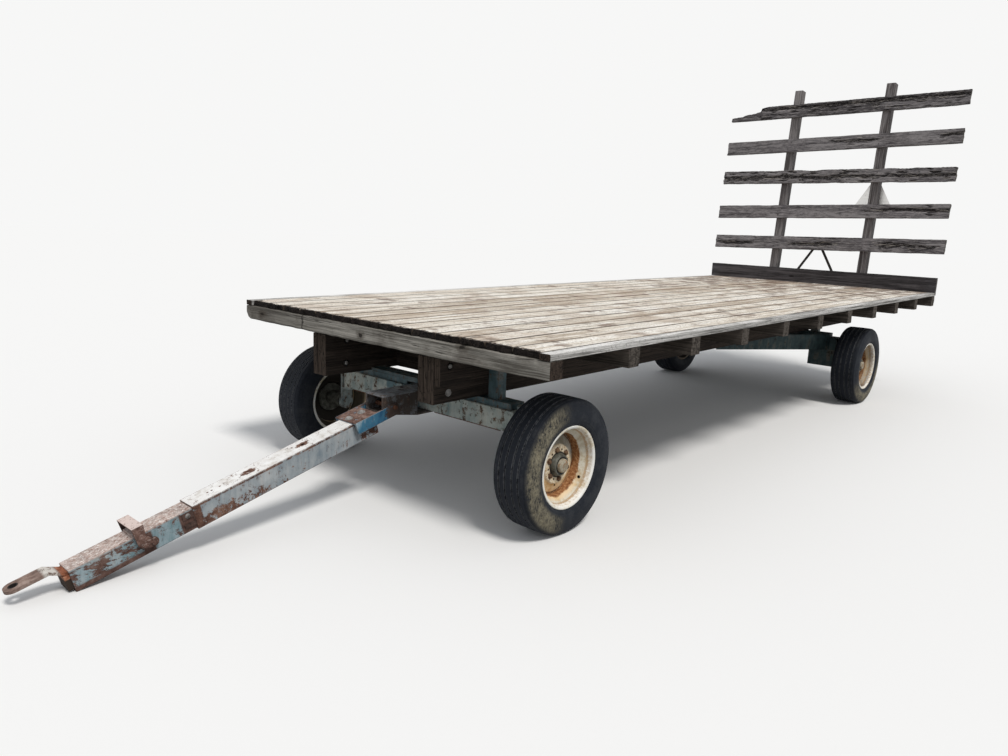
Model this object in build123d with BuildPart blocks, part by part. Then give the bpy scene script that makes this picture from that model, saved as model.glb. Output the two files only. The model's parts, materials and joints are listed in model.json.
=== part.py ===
from build123d import *
from math import asin, atan2, cos, degrees, hypot, radians, sin
import os

# Hay wagon: a plank deck on a four-wheel running gear that steers by its front knuckles.
# Lengths are in millimetres. +X is the wagon's left, -Y is forward to the hitch, +Z is up.
# The origin lies on the ground below the middle of the wagon's overall box.

# Wheels: offsets are outboard of the tyre's middle
wheel_base = 4460
track = 1864
tyre_radius = 345
tyre_width = 234
tread_width = 208
shoulder_drop = 14
rim_radius = 212
rim_width = 204
rim_lip = 21
seat_end = 65
well_start = 38
well_drop = 50
disc_offset = 19
disc_steel = 7
disc_plate_radius = 98
bowl_depth = 33
hub_flange_radius = 92
hub_flange = 10
hub_pilot_radius = 58
hub_barrel_radius = 45
hub_inboard = 118
hub_nose_radius = 43
hub_nose_reach = 52
hub_cap_radius = 36
hub_cap_reach = 70
spindle_radius = 20
spindle_end_gap = 5
spindle_past_disc = 20
running_fit = 0.05
seat_gap = 0.3

# Deck
deck_width = 2440
deck_length = 6160
deck_front_overhang = 430
deck_top_z = 978
plank_thickness = 30
plank_count = 14
plank_gap = 4
edge_strip_width = 65
header_size = 89
joist_width = 92
joist_height = 100
joist_count = 10
joist_tail_setback = 20

# Stringers: built-up boards on edge that carry the joists
stringer_height = 242
stringer_ply = 38
stringer_ply_gap = 2
stringer_plies = 3
stringer_setback = 49
stringer_tail_setback = 30
left_stringer_inner_x = 335
right_stringer_inner_x = 456
scab_board_height = 143

# Tail board and hay rack
tail_board_height = 150
tail_board_thickness = 38
rack_lean = 6.0
post_size = 89
post_length = 2243
post_foot_drop = 98
left_post_x = 469
right_post_x = 493
rack_board_thickness = 38
rack_board_height = 146
rack_board_half = 1240
rack_first_board = 366
rack_board_pitch = 363
brace_width = 25
brace_thickness = 8
brace_foot_rise = 12
brace_top_share = 0.8
plate_side = 400
plate_corner = 45
plate_thickness = 3
plate_x = 450
plate_rise = 864

# Axles
axle_depth = 130
axle_height = 112
axle_bottom_z = 460
axle_wall = 8
kingpin_x = 725
kingpin_radius = 16
kingpin_boss_radius = 34
rear_beam_half = 760
rear_block_inner_x = 510
rear_block_height = 160
rear_block_depth = 100
bolster_depth = 100
bolster_inner_x = 300
bolster_outer_x = 680
stake_width = 70
stake_depth = 60
stake_height = 190
stake_gap = 5
reach_size = 76
reach_wall = 6
reach_gusset = 150
reach_gusset_steel = 8
hound_width = 50
hound_height = 140
hound_wall = 6
hound_reach_y = 1010
hound_foot_x = 700

# Steering head, tie rods and knuckles
king_bolt_radius = 15
king_bolt_collar = 31
king_bolt_head = 10
king_bolt_head_gap = 1
head_width = 145
head_wall = 10
head_plate = 10
head_nose = 390
head_nose_rise = 40
head_box_start = 145
head_gap = 5
steer_arm_x = 35
steer_arm_y = 165
steer_arm_width = 46
steer_pin_radius = 8
steer_pin_drop = 46
tie_rod_radius = 13
tie_rod_eye_radius = 20
tie_rod_eye_height = 24
open_eye_clearance = 2.0
knuckle_lug = 20
knuckle_leg = 18
knuckle_width = 76
spindle_flange_radius = 45
spindle_flange = 12

# Tongue: distances are from the pivot's foot on the tongue's axis, forward along the slope
tongue_pivot_forward = 320
tongue_pivot_z = 519
tongue_pivot_rise = 48
tongue_pin_radius = 12
tongue_pin_head = 10
tongue_start = 115
tongue_size = 114
tongue_wall = 6
tongue_outer_end = 1156
tongue_holes = (533, 841)
tongue_hole_radius = 12
yoke_wall = 10
yoke_end = 262
yoke_heel = 26
yoke_leg = 64
yoke_bevel = 8
slide_gap = 0.5
inner_wall = 6
inner_start = 560
inner_end = 1682
bail_pivot = 1352
bail_rise = 88
bail_lean = 45
bail_gap = 6
bail_steel = 10
bail_width = 50
bail_pin_radius = 8
strap_thickness = 15
strap_width = 72
strap_tang = 170
strap_ramp_start = 8
strap_ramp_end = 62
strap_joggle = 34
strap_eye = 1860
hitch_hole_radius = 13.5
plug_width = 86
plug_height = 66
plug_reach = 22

# Heights worked out from the sizes above
wheel_z = tyre_radius
deck_bottom_z = deck_top_z - plank_thickness
joist_bottom_z = deck_bottom_z - joist_height
stringer_bottom_z = joist_bottom_z - stringer_height
axle_top_z = axle_bottom_z + axle_height
axle_middle_z = axle_bottom_z + axle_height / 2
rim_half = rim_width / 2
lean = radians(rack_lean)
inner_size = tongue_size - 2 * tongue_wall - 2 * slide_gap

# The tongue slopes until the lower front edge of its inner tube meets the ground
toe_drop = tongue_pivot_rise + inner_size / 2
tongue_slope = asin(tongue_pivot_z / hypot(inner_end, toe_drop)) - atan2(toe_drop, inner_end)

# Lengthwise places are found from the front axle first, then moved to the overall middle
deck_rear_back = deck_length - deck_front_overhang
strap_tang_rise = inner_size / 2 - inner_wall - seat_gap - strap_thickness
strap_eye_rise = strap_tang_rise + strap_joggle
tip_back = (
    -tongue_pivot_forward
    + (tongue_pivot_rise - strap_eye_rise) * sin(tongue_slope)
    - (strap_eye + strap_width / 2) * cos(tongue_slope)
)
post_top_back = deck_rear_back + seat_gap + (post_length - post_foot_drop) * sin(lean) + post_size * cos(lean)
front_axle_y = -(tip_back + post_top_back) / 2
rear_axle_y = front_axle_y + wheel_base
deck_front_y = front_axle_y - deck_front_overhang
deck_rear_y = deck_front_y + deck_length

sides = {"left": 1, "right": -1}
os.makedirs("parts", exist_ok=True)


def save(piece, name):
    piece.label = name
    export_step(piece, f"parts/{name}.step")


def box_plan(x_low, x_high, y_low, y_high):
    with Locations(((x_low + x_high) / 2, (y_low + y_high) / 2)):
        Rectangle(x_high - x_low, y_high - y_low)


# Deck planks run lengthwise up to the tail board, with a narrow strip along each edge
plank_pitch = (deck_width - 2 * edge_strip_width) / plank_count
plank_length = deck_length - tail_board_thickness
plank_middle_y = deck_front_y + plank_length / 2
with BuildPart() as deck_planks:
    with BuildSketch(Plane.XY.offset(deck_bottom_z)):
        for index in range(plank_count):
            plank_x = -deck_width / 2 + edge_strip_width + (index + 0.5) * plank_pitch
            with Locations((plank_x, plank_middle_y)):
                Rectangle(plank_pitch - plank_gap, plank_length)
        for side in sides.values():
            strip_x = side * (deck_width - edge_strip_width) / 2
            with Locations((strip_x, plank_middle_y)):
                Rectangle(edge_strip_width, plank_length)
    extrude(amount=plank_thickness)
save(deck_planks.part, "deck_planks")

with BuildPart() as header:
    with BuildSketch(Plane.XY.offset(deck_bottom_z - header_size)):
        box_plan(-deck_width / 2, deck_width / 2, deck_front_y, deck_front_y + header_size)
    extrude(amount=header_size)
save(header.part, "header")

# Joists are spaced evenly from the header to the deck's rear edge
joist_pitch = (deck_length - (header_size + joist_width) / 2 - joist_tail_setback) / joist_count
with BuildPart() as joists:
    with BuildSketch(Plane.XY.offset(joist_bottom_z)):
        for index in range(1, joist_count + 1):
            with Locations((0, deck_front_y + header_size / 2 + index * joist_pitch)):
                Rectangle(deck_width, joist_width)
    extrude(amount=joist_height)
save(joists.part, "joists")

# Each stringer: inner face, number of plies, outward direction; the left one has a half-high outer board
stringer_front_y = deck_front_y + stringer_setback
stringer_rear_y = deck_rear_y - stringer_tail_setback
stringer_step = stringer_ply + stringer_ply_gap
stringers = {
    "left": (1, left_stringer_inner_x),
    "right": (-1, right_stringer_inner_x),
}
for name, (side, inner_x) in stringers.items():
    with BuildPart() as stringer:
        with BuildSketch(Plane.XY.offset(stringer_bottom_z)):
            for ply in range(stringer_plies):
                ply_x = side * (inner_x + ply * stringer_step + stringer_ply / 2)
                with Locations((ply_x, (stringer_front_y + stringer_rear_y) / 2)):
                    Rectangle(stringer_ply, stringer_rear_y - stringer_front_y)
        extrude(amount=stringer_height)
        if side > 0:
            scab_x = side * (inner_x + stringer_plies * stringer_step + stringer_ply / 2)
            with BuildSketch(Plane.XY.offset(joist_bottom_z - scab_board_height)):
                with Locations((scab_x, (stringer_front_y + stringer_rear_y) / 2)):
                    Rectangle(stringer_ply, stringer_rear_y - stringer_front_y)
            extrude(amount=scab_board_height)
    save(stringer.part, f"stringer_{name}")

# The tail board stands on the last joist and laps the plank ends
with BuildPart() as tail_board:
    with BuildSketch(Plane.XY.offset(deck_bottom_z)):
        box_plan(-deck_width / 2, deck_width / 2, deck_rear_y - tail_board_thickness, deck_rear_y)
    extrude(amount=plank_thickness + tail_board_height)
save(tail_board.part, "tail_board")

# The rack leans back from the deck's rear edge; its face plane is the front of the posts
rack_face = Plane(
    origin=(0, deck_rear_y + seat_gap, deck_bottom_z),
    x_dir=(1, 0, 0),
    z_dir=(0, -cos(lean), sin(lean)),
)
post_places = {"left": left_post_x, "right": -right_post_x}
for name, post_x in post_places.items():
    with BuildPart() as post:
        with BuildSketch(rack_face):
            with Locations((post_x, post_length / 2 - post_foot_drop)):
                Rectangle(post_size, post_length)
        extrude(amount=-post_size)
    save(post.part, f"rack_post_{name}")

# Rack boards stand at an even pitch, but each has slipped: how far its right and left ends
# have dropped or risen, and how far they fall short of the rack's half width
rack_boards_table = (
    {"right_rise": 0, "left_rise": 45, "right_short": 8, "left_short": 0},
    {"right_rise": -19, "left_rise": 33, "right_short": 0, "left_short": 15},
    {"right_rise": 13, "left_rise": 30, "right_short": 0, "left_short": 13},
    {"right_rise": -15, "left_rise": 36, "right_short": 0, "left_short": 10},
    {"right_rise": 3, "left_rise": 42, "right_short": 0, "left_short": 5},
)
# The top board's right end is rotted away: share of the half width, and share of the height left
top_board_rot = ((1.0, 0.27), (0.90, 0.42), (0.81, 0.50), (0.70, 0.60), (0.685, 1.0))
with BuildPart() as rack_boards:
    with BuildSketch(rack_face):
        for index, board in enumerate(rack_boards_table):
            board_low = rack_first_board + index * rack_board_pitch
            right_x = board["right_short"] - rack_board_half
            left_x = rack_board_half - board["left_short"]
            right_low = board_low + board["right_rise"]
            left_low = board_low + board["left_rise"]
            board_slope = (left_low - right_low) / (left_x - right_x)
            right_edge = ((1.0, 1.0),)
            if index == len(rack_boards_table) - 1:
                right_edge = top_board_rot
            with BuildLine():
                Polyline(
                    (right_x, right_low),
                    (left_x, left_low),
                    (left_x, left_low + rack_board_height),
                    *[
                        (
                            right_x * reach,
                            right_low + (reach - 1) * right_x * board_slope + share * rack_board_height,
                        )
                        for reach, share in reversed(right_edge)
                    ],
                    close=True,
                )
            make_face()
    extrude(amount=rack_board_thickness)
save(rack_boards.part, "rack_boards")

# Two flat bars spread from behind the lowest rack board down to the deck's rear edge
brace_top = rack_first_board + rack_board_height * brace_top_share
brace_feet_x = (-300, 264)
brace_apex_x = -19
with BuildPart() as rack_braces:
    with BuildSketch(rack_face):
        for foot_x in brace_feet_x:
            brace_mid = ((brace_apex_x + foot_x) / 2, (brace_top + brace_foot_rise) / 2)
            brace_run = hypot(foot_x - brace_apex_x, brace_top - brace_foot_rise)
            brace_turn = degrees(atan2(brace_top - brace_foot_rise, brace_apex_x - foot_x))
            with Locations(Location((brace_mid[0], brace_mid[1], 0), (0, 0, brace_turn))):
                Rectangle(brace_run, brace_width)
    extrude(amount=-brace_thickness)
save(rack_braces.part, "rack_braces")

# Slow-vehicle plate: a triangle with cut corners behind the left post
plate_height = plate_side * cos(radians(30))
with BuildPart() as slow_plate:
    with BuildSketch(rack_face.offset(-post_size - seat_gap)) as plate_outline:
        with Locations((plate_x, plate_rise + plate_height / 3)):
            RegularPolygon(radius=plate_height * 2 / 3, side_count=3, rotation=90)
        chamfer(plate_outline.vertices(), plate_corner)
    extrude(amount=-plate_thickness)
save(slow_plate.part, "slow_plate")

# Front axle: a box beam with a kingpin through a boss at each end
boss_reach = kingpin_x - kingpin_boss_radius / 2
with BuildPart() as front_axle:
    with BuildSketch(Plane.YZ.offset(-boss_reach)):
        with Locations((front_axle_y, axle_middle_z)):
            Rectangle(axle_depth, axle_height)
            Rectangle(
                axle_depth - 2 * axle_wall, axle_height - 2 * axle_wall, mode=Mode.SUBTRACT
            )
    extrude(amount=2 * boss_reach)
    for side in sides.values():
        with BuildSketch(Plane.XY.offset(axle_bottom_z)):
            with Locations((side * kingpin_x, front_axle_y)):
                Circle(kingpin_boss_radius)
        extrude(amount=axle_height)
        with BuildSketch(Plane.XY.offset(axle_bottom_z - head_gap - knuckle_lug - head_gap)):
            with Locations((side * kingpin_x, front_axle_y)):
                Circle(kingpin_radius)
        extrude(amount=axle_height + 2 * knuckle_lug + 4 * head_gap)
    with BuildSketch(Plane.XY.offset(axle_bottom_z)):
        with Locations((0, front_axle_y)):
            Circle(king_bolt_collar)
    extrude(amount=axle_height)
    with BuildSketch(Plane.XY.offset(axle_bottom_z)):
        with Locations((0, front_axle_y)):
            Circle(king_bolt_radius)
    extrude(amount=axle_height, mode=Mode.SUBTRACT)
save(front_axle.part, "front_axle")

# King bolt: a shank between two hexagon heads that run just clear of the steering head
head_top_z = axle_top_z + head_gap
head_bottom_z = axle_bottom_z - head_gap - head_plate
upper_head_z = head_top_z + head_plate + king_bolt_head_gap
lower_head_z = head_bottom_z - king_bolt_head_gap - king_bolt_head
with BuildPart() as king_bolt:
    with BuildSketch(Plane.XY.offset(lower_head_z)):
        with Locations((0, front_axle_y)):
            Circle(king_bolt_radius)
    extrude(amount=upper_head_z + king_bolt_head - lower_head_z)
    for bolt_head_z in (upper_head_z, lower_head_z):
        with BuildSketch(Plane.XY.offset(bolt_head_z)):
            with Locations((0, front_axle_y)):
                RegularPolygon(radius=2 * king_bolt_radius, side_count=6)
        extrude(amount=king_bolt_head)
save(king_bolt.part, "king_bolt")

# Rear axle: the same box beam with a drop block and fixed spindle below each end
with BuildPart() as rear_axle:
    with BuildSketch(Plane.YZ.offset(-rear_beam_half)):
        with Locations((rear_axle_y, axle_middle_z)):
            Rectangle(axle_depth, axle_height)
            Rectangle(
                axle_depth - 2 * axle_wall, axle_height - 2 * axle_wall, mode=Mode.SUBTRACT
            )
    extrude(amount=2 * rear_beam_half)
save(rear_axle.part, "rear_axle")

spindle_end = track / 2 + disc_offset + spindle_past_disc
spindle_base_x = kingpin_x + kingpin_boss_radius + head_gap + knuckle_leg
for name, side in sides.items():
    with BuildPart() as rear_spindle:
        with BuildSketch(Plane.XY.offset(axle_bottom_z - rear_block_height)):
            box_plan(
                min(side * rear_block_inner_x, side * spindle_base_x),
                max(side * rear_block_inner_x, side * spindle_base_x),
                rear_axle_y - rear_block_depth / 2,
                rear_axle_y + rear_block_depth / 2,
            )
        extrude(amount=rear_block_height)
        with BuildSketch(Plane.YZ.offset(side * spindle_base_x)):
            with Locations((rear_axle_y, wheel_z)):
                Circle(spindle_flange_radius)
        extrude(amount=side * spindle_flange)
        with BuildSketch(Plane.YZ.offset(side * spindle_base_x)):
            with Locations((rear_axle_y, wheel_z)):
                Circle(spindle_radius)
        extrude(amount=side * (spindle_end - spindle_base_x))
    save(rear_spindle.part, f"rear_spindle_{name}")

# Bolsters: a saddle under each stringer on each axle, with a stake outside it
stringer_outer = {
    "left": left_stringer_inner_x + (stringer_plies + 1) * stringer_step - stringer_ply_gap,
    "right": right_stringer_inner_x + stringer_plies * stringer_step - stringer_ply_gap,
}
bolster_height = stringer_bottom_z - axle_top_z
for end, axle_y in (("front", front_axle_y), ("rear", rear_axle_y)):
    for name, side in sides.items():
        stake_x = stringer_outer[name] + stake_gap + stake_width / 2
        with BuildPart() as bolster:
            with BuildSketch(Plane.XY.offset(axle_top_z)):
                with Locations((side * (bolster_inner_x + bolster_outer_x) / 2, axle_y)):
                    Rectangle(bolster_outer_x - bolster_inner_x, bolster_depth)
            extrude(amount=bolster_height)
            with BuildSketch(Plane.XY.offset(stringer_bottom_z)):
                with Locations((side * stake_x, axle_y)):
                    Rectangle(stake_width, stake_depth)
            extrude(amount=stake_height)
        save(bolster.part, f"{end}_bolster_{name}")

# Reach pole: a square tube between the axles, with gussets on the front axle
reach_front_y = front_axle_y + axle_depth / 2
reach_rear_y = rear_axle_y - axle_depth / 2
with BuildPart() as reach_pole:
    with BuildSketch(Plane.XZ.offset(-reach_front_y)):
        with Locations((0, axle_middle_z)):
            Rectangle(reach_size, reach_size)
            Rectangle(reach_size - 2 * reach_wall, reach_size - 2 * reach_wall, mode=Mode.SUBTRACT)
    extrude(amount=-(reach_rear_y - reach_front_y))
    for gusset_z in (axle_middle_z + reach_size / 2, axle_middle_z - reach_size / 2 - reach_gusset_steel):
        with BuildSketch(Plane.XY.offset(gusset_z)):
            with BuildLine():
                Polyline(
                    (-reach_gusset, reach_front_y),
                    (reach_gusset, reach_front_y),
                    (reach_size / 2, reach_front_y + reach_gusset),
                    (-reach_size / 2, reach_front_y + reach_gusset),
                    close=True,
                )
            make_face()
        extrude(amount=reach_gusset_steel)
save(reach_pole.part, "reach_pole")

# Rear hounds: pressed channels that spread from the reach to the ends of the rear axle
for name, side in sides.items():
    reach_x = reach_size / 2
    hound_start_y = rear_axle_y - hound_reach_y
    hound_run_x = hound_foot_x - reach_x
    hound_run_y = reach_rear_y - hound_start_y
    hound_length = hypot(hound_run_x, hound_run_y)
    hound_side_y = hound_width * hound_length / hound_run_x
    hound_side_x = hound_width * hound_length / hound_run_y
    web_x = hound_wall * hound_length / hound_run_y
    web_y = hound_wall * hound_length / hound_run_x
    with BuildPart() as hound:
        with BuildSketch(Plane.XY.offset(axle_bottom_z)):
            with BuildLine():
                Polyline(
                    (side * reach_x, hound_start_y),
                    (side * hound_foot_x, reach_rear_y),
                    (side * (hound_foot_x - hound_side_x), reach_rear_y),
                    (side * reach_x, hound_start_y + hound_side_y),
                    close=True,
                )
            make_face()
        extrude(amount=hound_height)
        with BuildSketch(Plane.XY.offset(axle_bottom_z + hound_wall)):
            with BuildLine():
                Polyline(
                    (side * reach_x, hound_start_y + web_y),
                    (side * (hound_foot_x - web_x), reach_rear_y),
                    (side * (hound_foot_x - hound_side_x), reach_rear_y),
                    (side * reach_x, hound_start_y + hound_side_y),
                    close=True,
                )
            make_face()
        extrude(amount=hound_height - 2 * hound_wall, mode=Mode.SUBTRACT)
    save(hound.part, f"rear_hound_{name}")

# Steering head: plates over and under the axle, joined into an open box whose floor rises to the nose
head_box_back_y = front_axle_y - head_box_start
head_front_y = front_axle_y - head_nose
head_nose_z = head_bottom_z + head_nose_rise
with BuildPart() as steering_head:
    for plate_z, plate_front_y in ((head_top_z, head_front_y), (head_bottom_z, head_box_back_y)):
        with BuildSketch(Plane.XY.offset(plate_z)):
            box_plan(-head_width / 2, head_width / 2, plate_front_y, front_axle_y)
            with Locations((0, front_axle_y)):
                Circle(head_width / 2)
        extrude(amount=head_plate)
    with BuildSketch(Plane.XY.offset(head_bottom_z)):
        with BuildLine():
            Polyline(
                (-head_width / 2, front_axle_y),
                (head_width / 2, front_axle_y),
                (steer_arm_x + steer_arm_width / 2, front_axle_y + steer_arm_y),
                (-steer_arm_x - steer_arm_width / 2, front_axle_y + steer_arm_y),
                close=True,
            )
        make_face()
        with Locations((steer_arm_x, front_axle_y + steer_arm_y), (-steer_arm_x, front_axle_y + steer_arm_y)):
            Circle(steer_arm_width / 2)
    extrude(amount=head_plate)
    with BuildSketch(Plane.YZ.offset(-head_width / 2)):
        with BuildLine():
            Polyline(
                (head_front_y, head_nose_z),
                (head_front_y, head_top_z),
                (head_box_back_y, head_top_z),
                (head_box_back_y, head_bottom_z),
                close=True,
            )
        make_face()
    extrude(amount=head_width)
    with BuildSketch(Plane.YZ.offset(head_wall - head_width / 2)):
        with BuildLine():
            Polyline(
                (head_front_y, head_nose_z + head_plate),
                (head_front_y, head_top_z),
                (head_box_back_y, head_top_z),
                (head_box_back_y, head_bottom_z + head_plate),
                close=True,
            )
        make_face()
    extrude(amount=head_width - 2 * head_wall, mode=Mode.SUBTRACT)
    for side in sides.values():
        with BuildSketch(Plane.XY.offset(head_bottom_z - steer_pin_drop)):
            with Locations((side * steer_arm_x, front_axle_y + steer_arm_y)):
                Circle(steer_pin_radius)
        extrude(amount=steer_pin_drop)
    with BuildSketch(Plane.XY.offset(head_bottom_z)):
        with Locations((0, front_axle_y)):
            Circle(king_bolt_radius + running_fit)
    extrude(amount=head_top_z + head_plate - head_bottom_z, mode=Mode.SUBTRACT)
    with BuildSketch(Plane.YZ.offset(-head_width / 2)):
        with Locations((front_axle_y - tongue_pivot_forward, tongue_pivot_z)):
            Circle(tongue_pin_radius + running_fit)
    extrude(amount=head_width, mode=Mode.SUBTRACT)
save(steering_head.part, "steering_head")

# Knuckles: a C round the kingpin boss, a leg down to the spindle and an arm back to the tie rod
lug_low_z = axle_bottom_z - head_gap - knuckle_lug
lug_high_z = axle_top_z + head_gap
leg_inner_x = kingpin_x + kingpin_boss_radius + head_gap
leg_low_z = wheel_z - spindle_flange_radius
for name, side in sides.items():
    arm_end = (side * (kingpin_x + steer_arm_x), front_axle_y + steer_arm_y)
    with BuildPart() as knuckle:
        for lug_z in (lug_low_z, lug_high_z):
            with BuildSketch(Plane.XY.offset(lug_z)):
                with Locations((side * kingpin_x, front_axle_y)):
                    Circle(knuckle_width / 2)
                box_plan(
                    min(side * kingpin_x, side * leg_inner_x),
                    max(side * kingpin_x, side * leg_inner_x),
                    front_axle_y - knuckle_width / 2,
                    front_axle_y + knuckle_width / 2,
                )
            extrude(amount=knuckle_lug)
        with BuildSketch(Plane.YZ.offset(side * leg_inner_x)):
            box_plan(
                front_axle_y - knuckle_width / 2,
                front_axle_y + knuckle_width / 2,
                wheel_z,
                lug_high_z + knuckle_lug,
            )
            with Locations((front_axle_y, wheel_z)):
                Circle(spindle_flange_radius)
        extrude(amount=side * knuckle_leg)
        with BuildSketch(Plane.XY.offset(head_bottom_z)):
            SlotCenterPoint(
                ((side * kingpin_x + arm_end[0]) / 2, (front_axle_y + arm_end[1]) / 2),
                arm_end,
                steer_arm_width,
            )
        extrude(amount=head_plate)
        with BuildSketch(Plane.XY.offset(head_bottom_z - steer_pin_drop)):
            with Locations(arm_end):
                Circle(steer_pin_radius)
        extrude(amount=steer_pin_drop)
        with BuildSketch(Plane.XY.offset(lug_low_z)):
            with Locations((side * kingpin_x, front_axle_y)):
                Circle(kingpin_radius + running_fit)
        extrude(amount=lug_high_z + knuckle_lug - lug_low_z, mode=Mode.SUBTRACT)
        with BuildSketch(Plane.YZ.offset(side * spindle_base_x)):
            with Locations((front_axle_y, wheel_z)):
                Circle(spindle_flange_radius)
        extrude(amount=side * spindle_flange)
        with BuildSketch(Plane.YZ.offset(side * spindle_base_x)):
            with Locations((front_axle_y, wheel_z)):
                Circle(spindle_radius)
        extrude(amount=side * (spindle_end - spindle_base_x))
    save(knuckle.part, f"knuckle_{name}")

# Tie rods: equal offsets at both ends keep each rod parallel to the axle as the wheels steer
tie_rod_z = head_bottom_z - steer_pin_drop / 2
tie_rod_y = front_axle_y + steer_arm_y
for name, side in sides.items():
    with BuildPart() as tie_rod:
        with BuildSketch(Plane.YZ.offset(side * (steer_arm_x + tie_rod_eye_radius / 2))):
            with Locations((tie_rod_y, tie_rod_z)):
                Circle(tie_rod_radius)
        extrude(amount=side * (kingpin_x - tie_rod_eye_radius))
        with BuildSketch(Plane.XY.offset(tie_rod_z - tie_rod_eye_height / 2)):
            with Locations((side * steer_arm_x, tie_rod_y)):
                Circle(tie_rod_eye_radius)
            with Locations((side * (steer_arm_x + kingpin_x), tie_rod_y)):
                Circle(tie_rod_eye_radius)
        extrude(amount=tie_rod_eye_height)
        with BuildSketch(Plane.XY.offset(tie_rod_z - tie_rod_eye_height / 2)):
            with Locations((side * steer_arm_x, tie_rod_y)):
                Circle(steer_pin_radius + running_fit)
            with Locations((side * (steer_arm_x + kingpin_x), tie_rod_y)):
                Circle(steer_pin_radius + open_eye_clearance)
        extrude(amount=tie_rod_eye_height, mode=Mode.SUBTRACT)
    save(tie_rod.part, f"tie_rod_{name}")

# Tongue planes: along is forward and down the slope, rise is square to it and upwards.
# The tongue's axis runs below its pivot.
pivot = Vector(0, front_axle_y - tongue_pivot_forward, tongue_pivot_z)
along = Vector(0, -cos(tongue_slope), -sin(tongue_slope))
rise = Vector(0, -sin(tongue_slope), cos(tongue_slope))
tongue_root = pivot - rise * tongue_pivot_rise


def tongue_section(distance):
    return Plane(origin=tongue_root + along * distance, x_dir=(1, 0, 0), z_dir=along)


def tongue_top(height):
    return Plane(origin=tongue_root + rise * height, x_dir=(1, 0, 0), z_dir=rise)


tongue_side = Plane(origin=tongue_root, x_dir=along, z_dir=(-1, 0, 0))

with BuildPart() as tongue_tube:
    with BuildSketch(tongue_section(tongue_start)):
        Rectangle(tongue_size, tongue_size)
        Rectangle(tongue_size - 2 * tongue_wall, tongue_size - 2 * tongue_wall, mode=Mode.SUBTRACT)
    extrude(amount=tongue_outer_end - tongue_start)
    with BuildSketch(tongue_top(tongue_size / 2 - tongue_wall)):
        with Locations(*[(0, -distance) for distance in tongue_holes]):
            Circle(tongue_hole_radius)
    extrude(amount=tongue_wall, mode=Mode.SUBTRACT)
save(tongue_tube.part, "tongue_tube")

# Yoke: a shallow channel bolted over the tongue, whose sides straddle the steering head
yoke_inner = head_width / 2 + head_gap
yoke_top = tongue_size / 2 + yoke_wall
yoke_low = yoke_top - yoke_leg
with BuildPart() as tongue_yoke:
    with BuildSketch(tongue_top(tongue_size / 2)):
        with Locations((0, -(tongue_start + yoke_end) / 2)):
            Rectangle(2 * (yoke_inner + yoke_wall), yoke_end - tongue_start)
    extrude(amount=yoke_wall)
    for side in sides.values():
        with BuildSketch(tongue_side.offset(-side * (yoke_inner + yoke_wall / 2))):
            with BuildLine():
                Polyline(
                    (-yoke_heel, yoke_low + yoke_bevel),
                    (-yoke_heel, yoke_top - yoke_bevel),
                    (-yoke_heel + yoke_bevel, yoke_top),
                    (yoke_end, yoke_top),
                    (yoke_end - yoke_bevel, yoke_low),
                    (-yoke_heel + yoke_bevel, yoke_low),
                    close=True,
                )
            make_face()
            with Locations((0, tongue_pivot_rise)):
                Circle(tongue_pin_radius, mode=Mode.SUBTRACT)
        extrude(amount=yoke_wall / 2, both=True)
save(tongue_yoke.part, "tongue_yoke")

with BuildPart() as tongue_pin:
    with BuildSketch(tongue_side):
        with Locations((0, tongue_pivot_rise)):
            Circle(tongue_pin_radius)
    extrude(amount=yoke_inner + yoke_wall + tongue_pin_head, both=True)
save(tongue_pin.part, "tongue_pin")

# Inner tube: slides in the outer one and is drilled across for the bail's pin
with BuildPart() as inner_tube:
    with BuildSketch(tongue_section(inner_start)):
        Rectangle(inner_size, inner_size)
        Rectangle(inner_size - 2 * inner_wall, inner_size - 2 * inner_wall, mode=Mode.SUBTRACT)
    extrude(amount=inner_end - inner_start)
    with BuildSketch(tongue_side):
        with Locations((bail_pivot, 0)):
            Circle(bail_pin_radius)
    extrude(amount=inner_size / 2, both=True, mode=Mode.SUBTRACT)
save(inner_tube.part, "inner_tube")

# Latch bail: a hoop of flat bar, wide enough to swing over the outer tube, on a pin across the inner one
bail_inner = tongue_size / 2 + bail_gap
with BuildPart() as latch_bail:
    for side in sides.values():
        with BuildSketch(tongue_side.offset(-side * (bail_inner + bail_steel / 2))):
            with Locations((bail_pivot, 0)):
                Circle(bail_width / 2)
            with BuildLine():
                Polyline(
                    (bail_pivot - bail_width / 2, 0),
                    (bail_pivot + bail_width / 2, 0),
                    (bail_pivot + bail_lean + bail_width / 2, bail_rise + bail_steel),
                    (bail_pivot + bail_lean - bail_width / 2, bail_rise + bail_steel),
                    close=True,
                )
            make_face()
        extrude(amount=bail_steel / 2, both=True)
    with BuildSketch(tongue_top(bail_rise)):
        with Locations((0, -(bail_pivot + bail_lean))):
            Rectangle(2 * (bail_inner + bail_steel), bail_width)
    extrude(amount=bail_steel)
    with BuildSketch(tongue_side):
        with Locations((bail_pivot, 0)):
            Circle(bail_pin_radius)
    extrude(amount=bail_inner + 2 * bail_steel, both=True)
save(latch_bail.part, "latch_bail")

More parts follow.
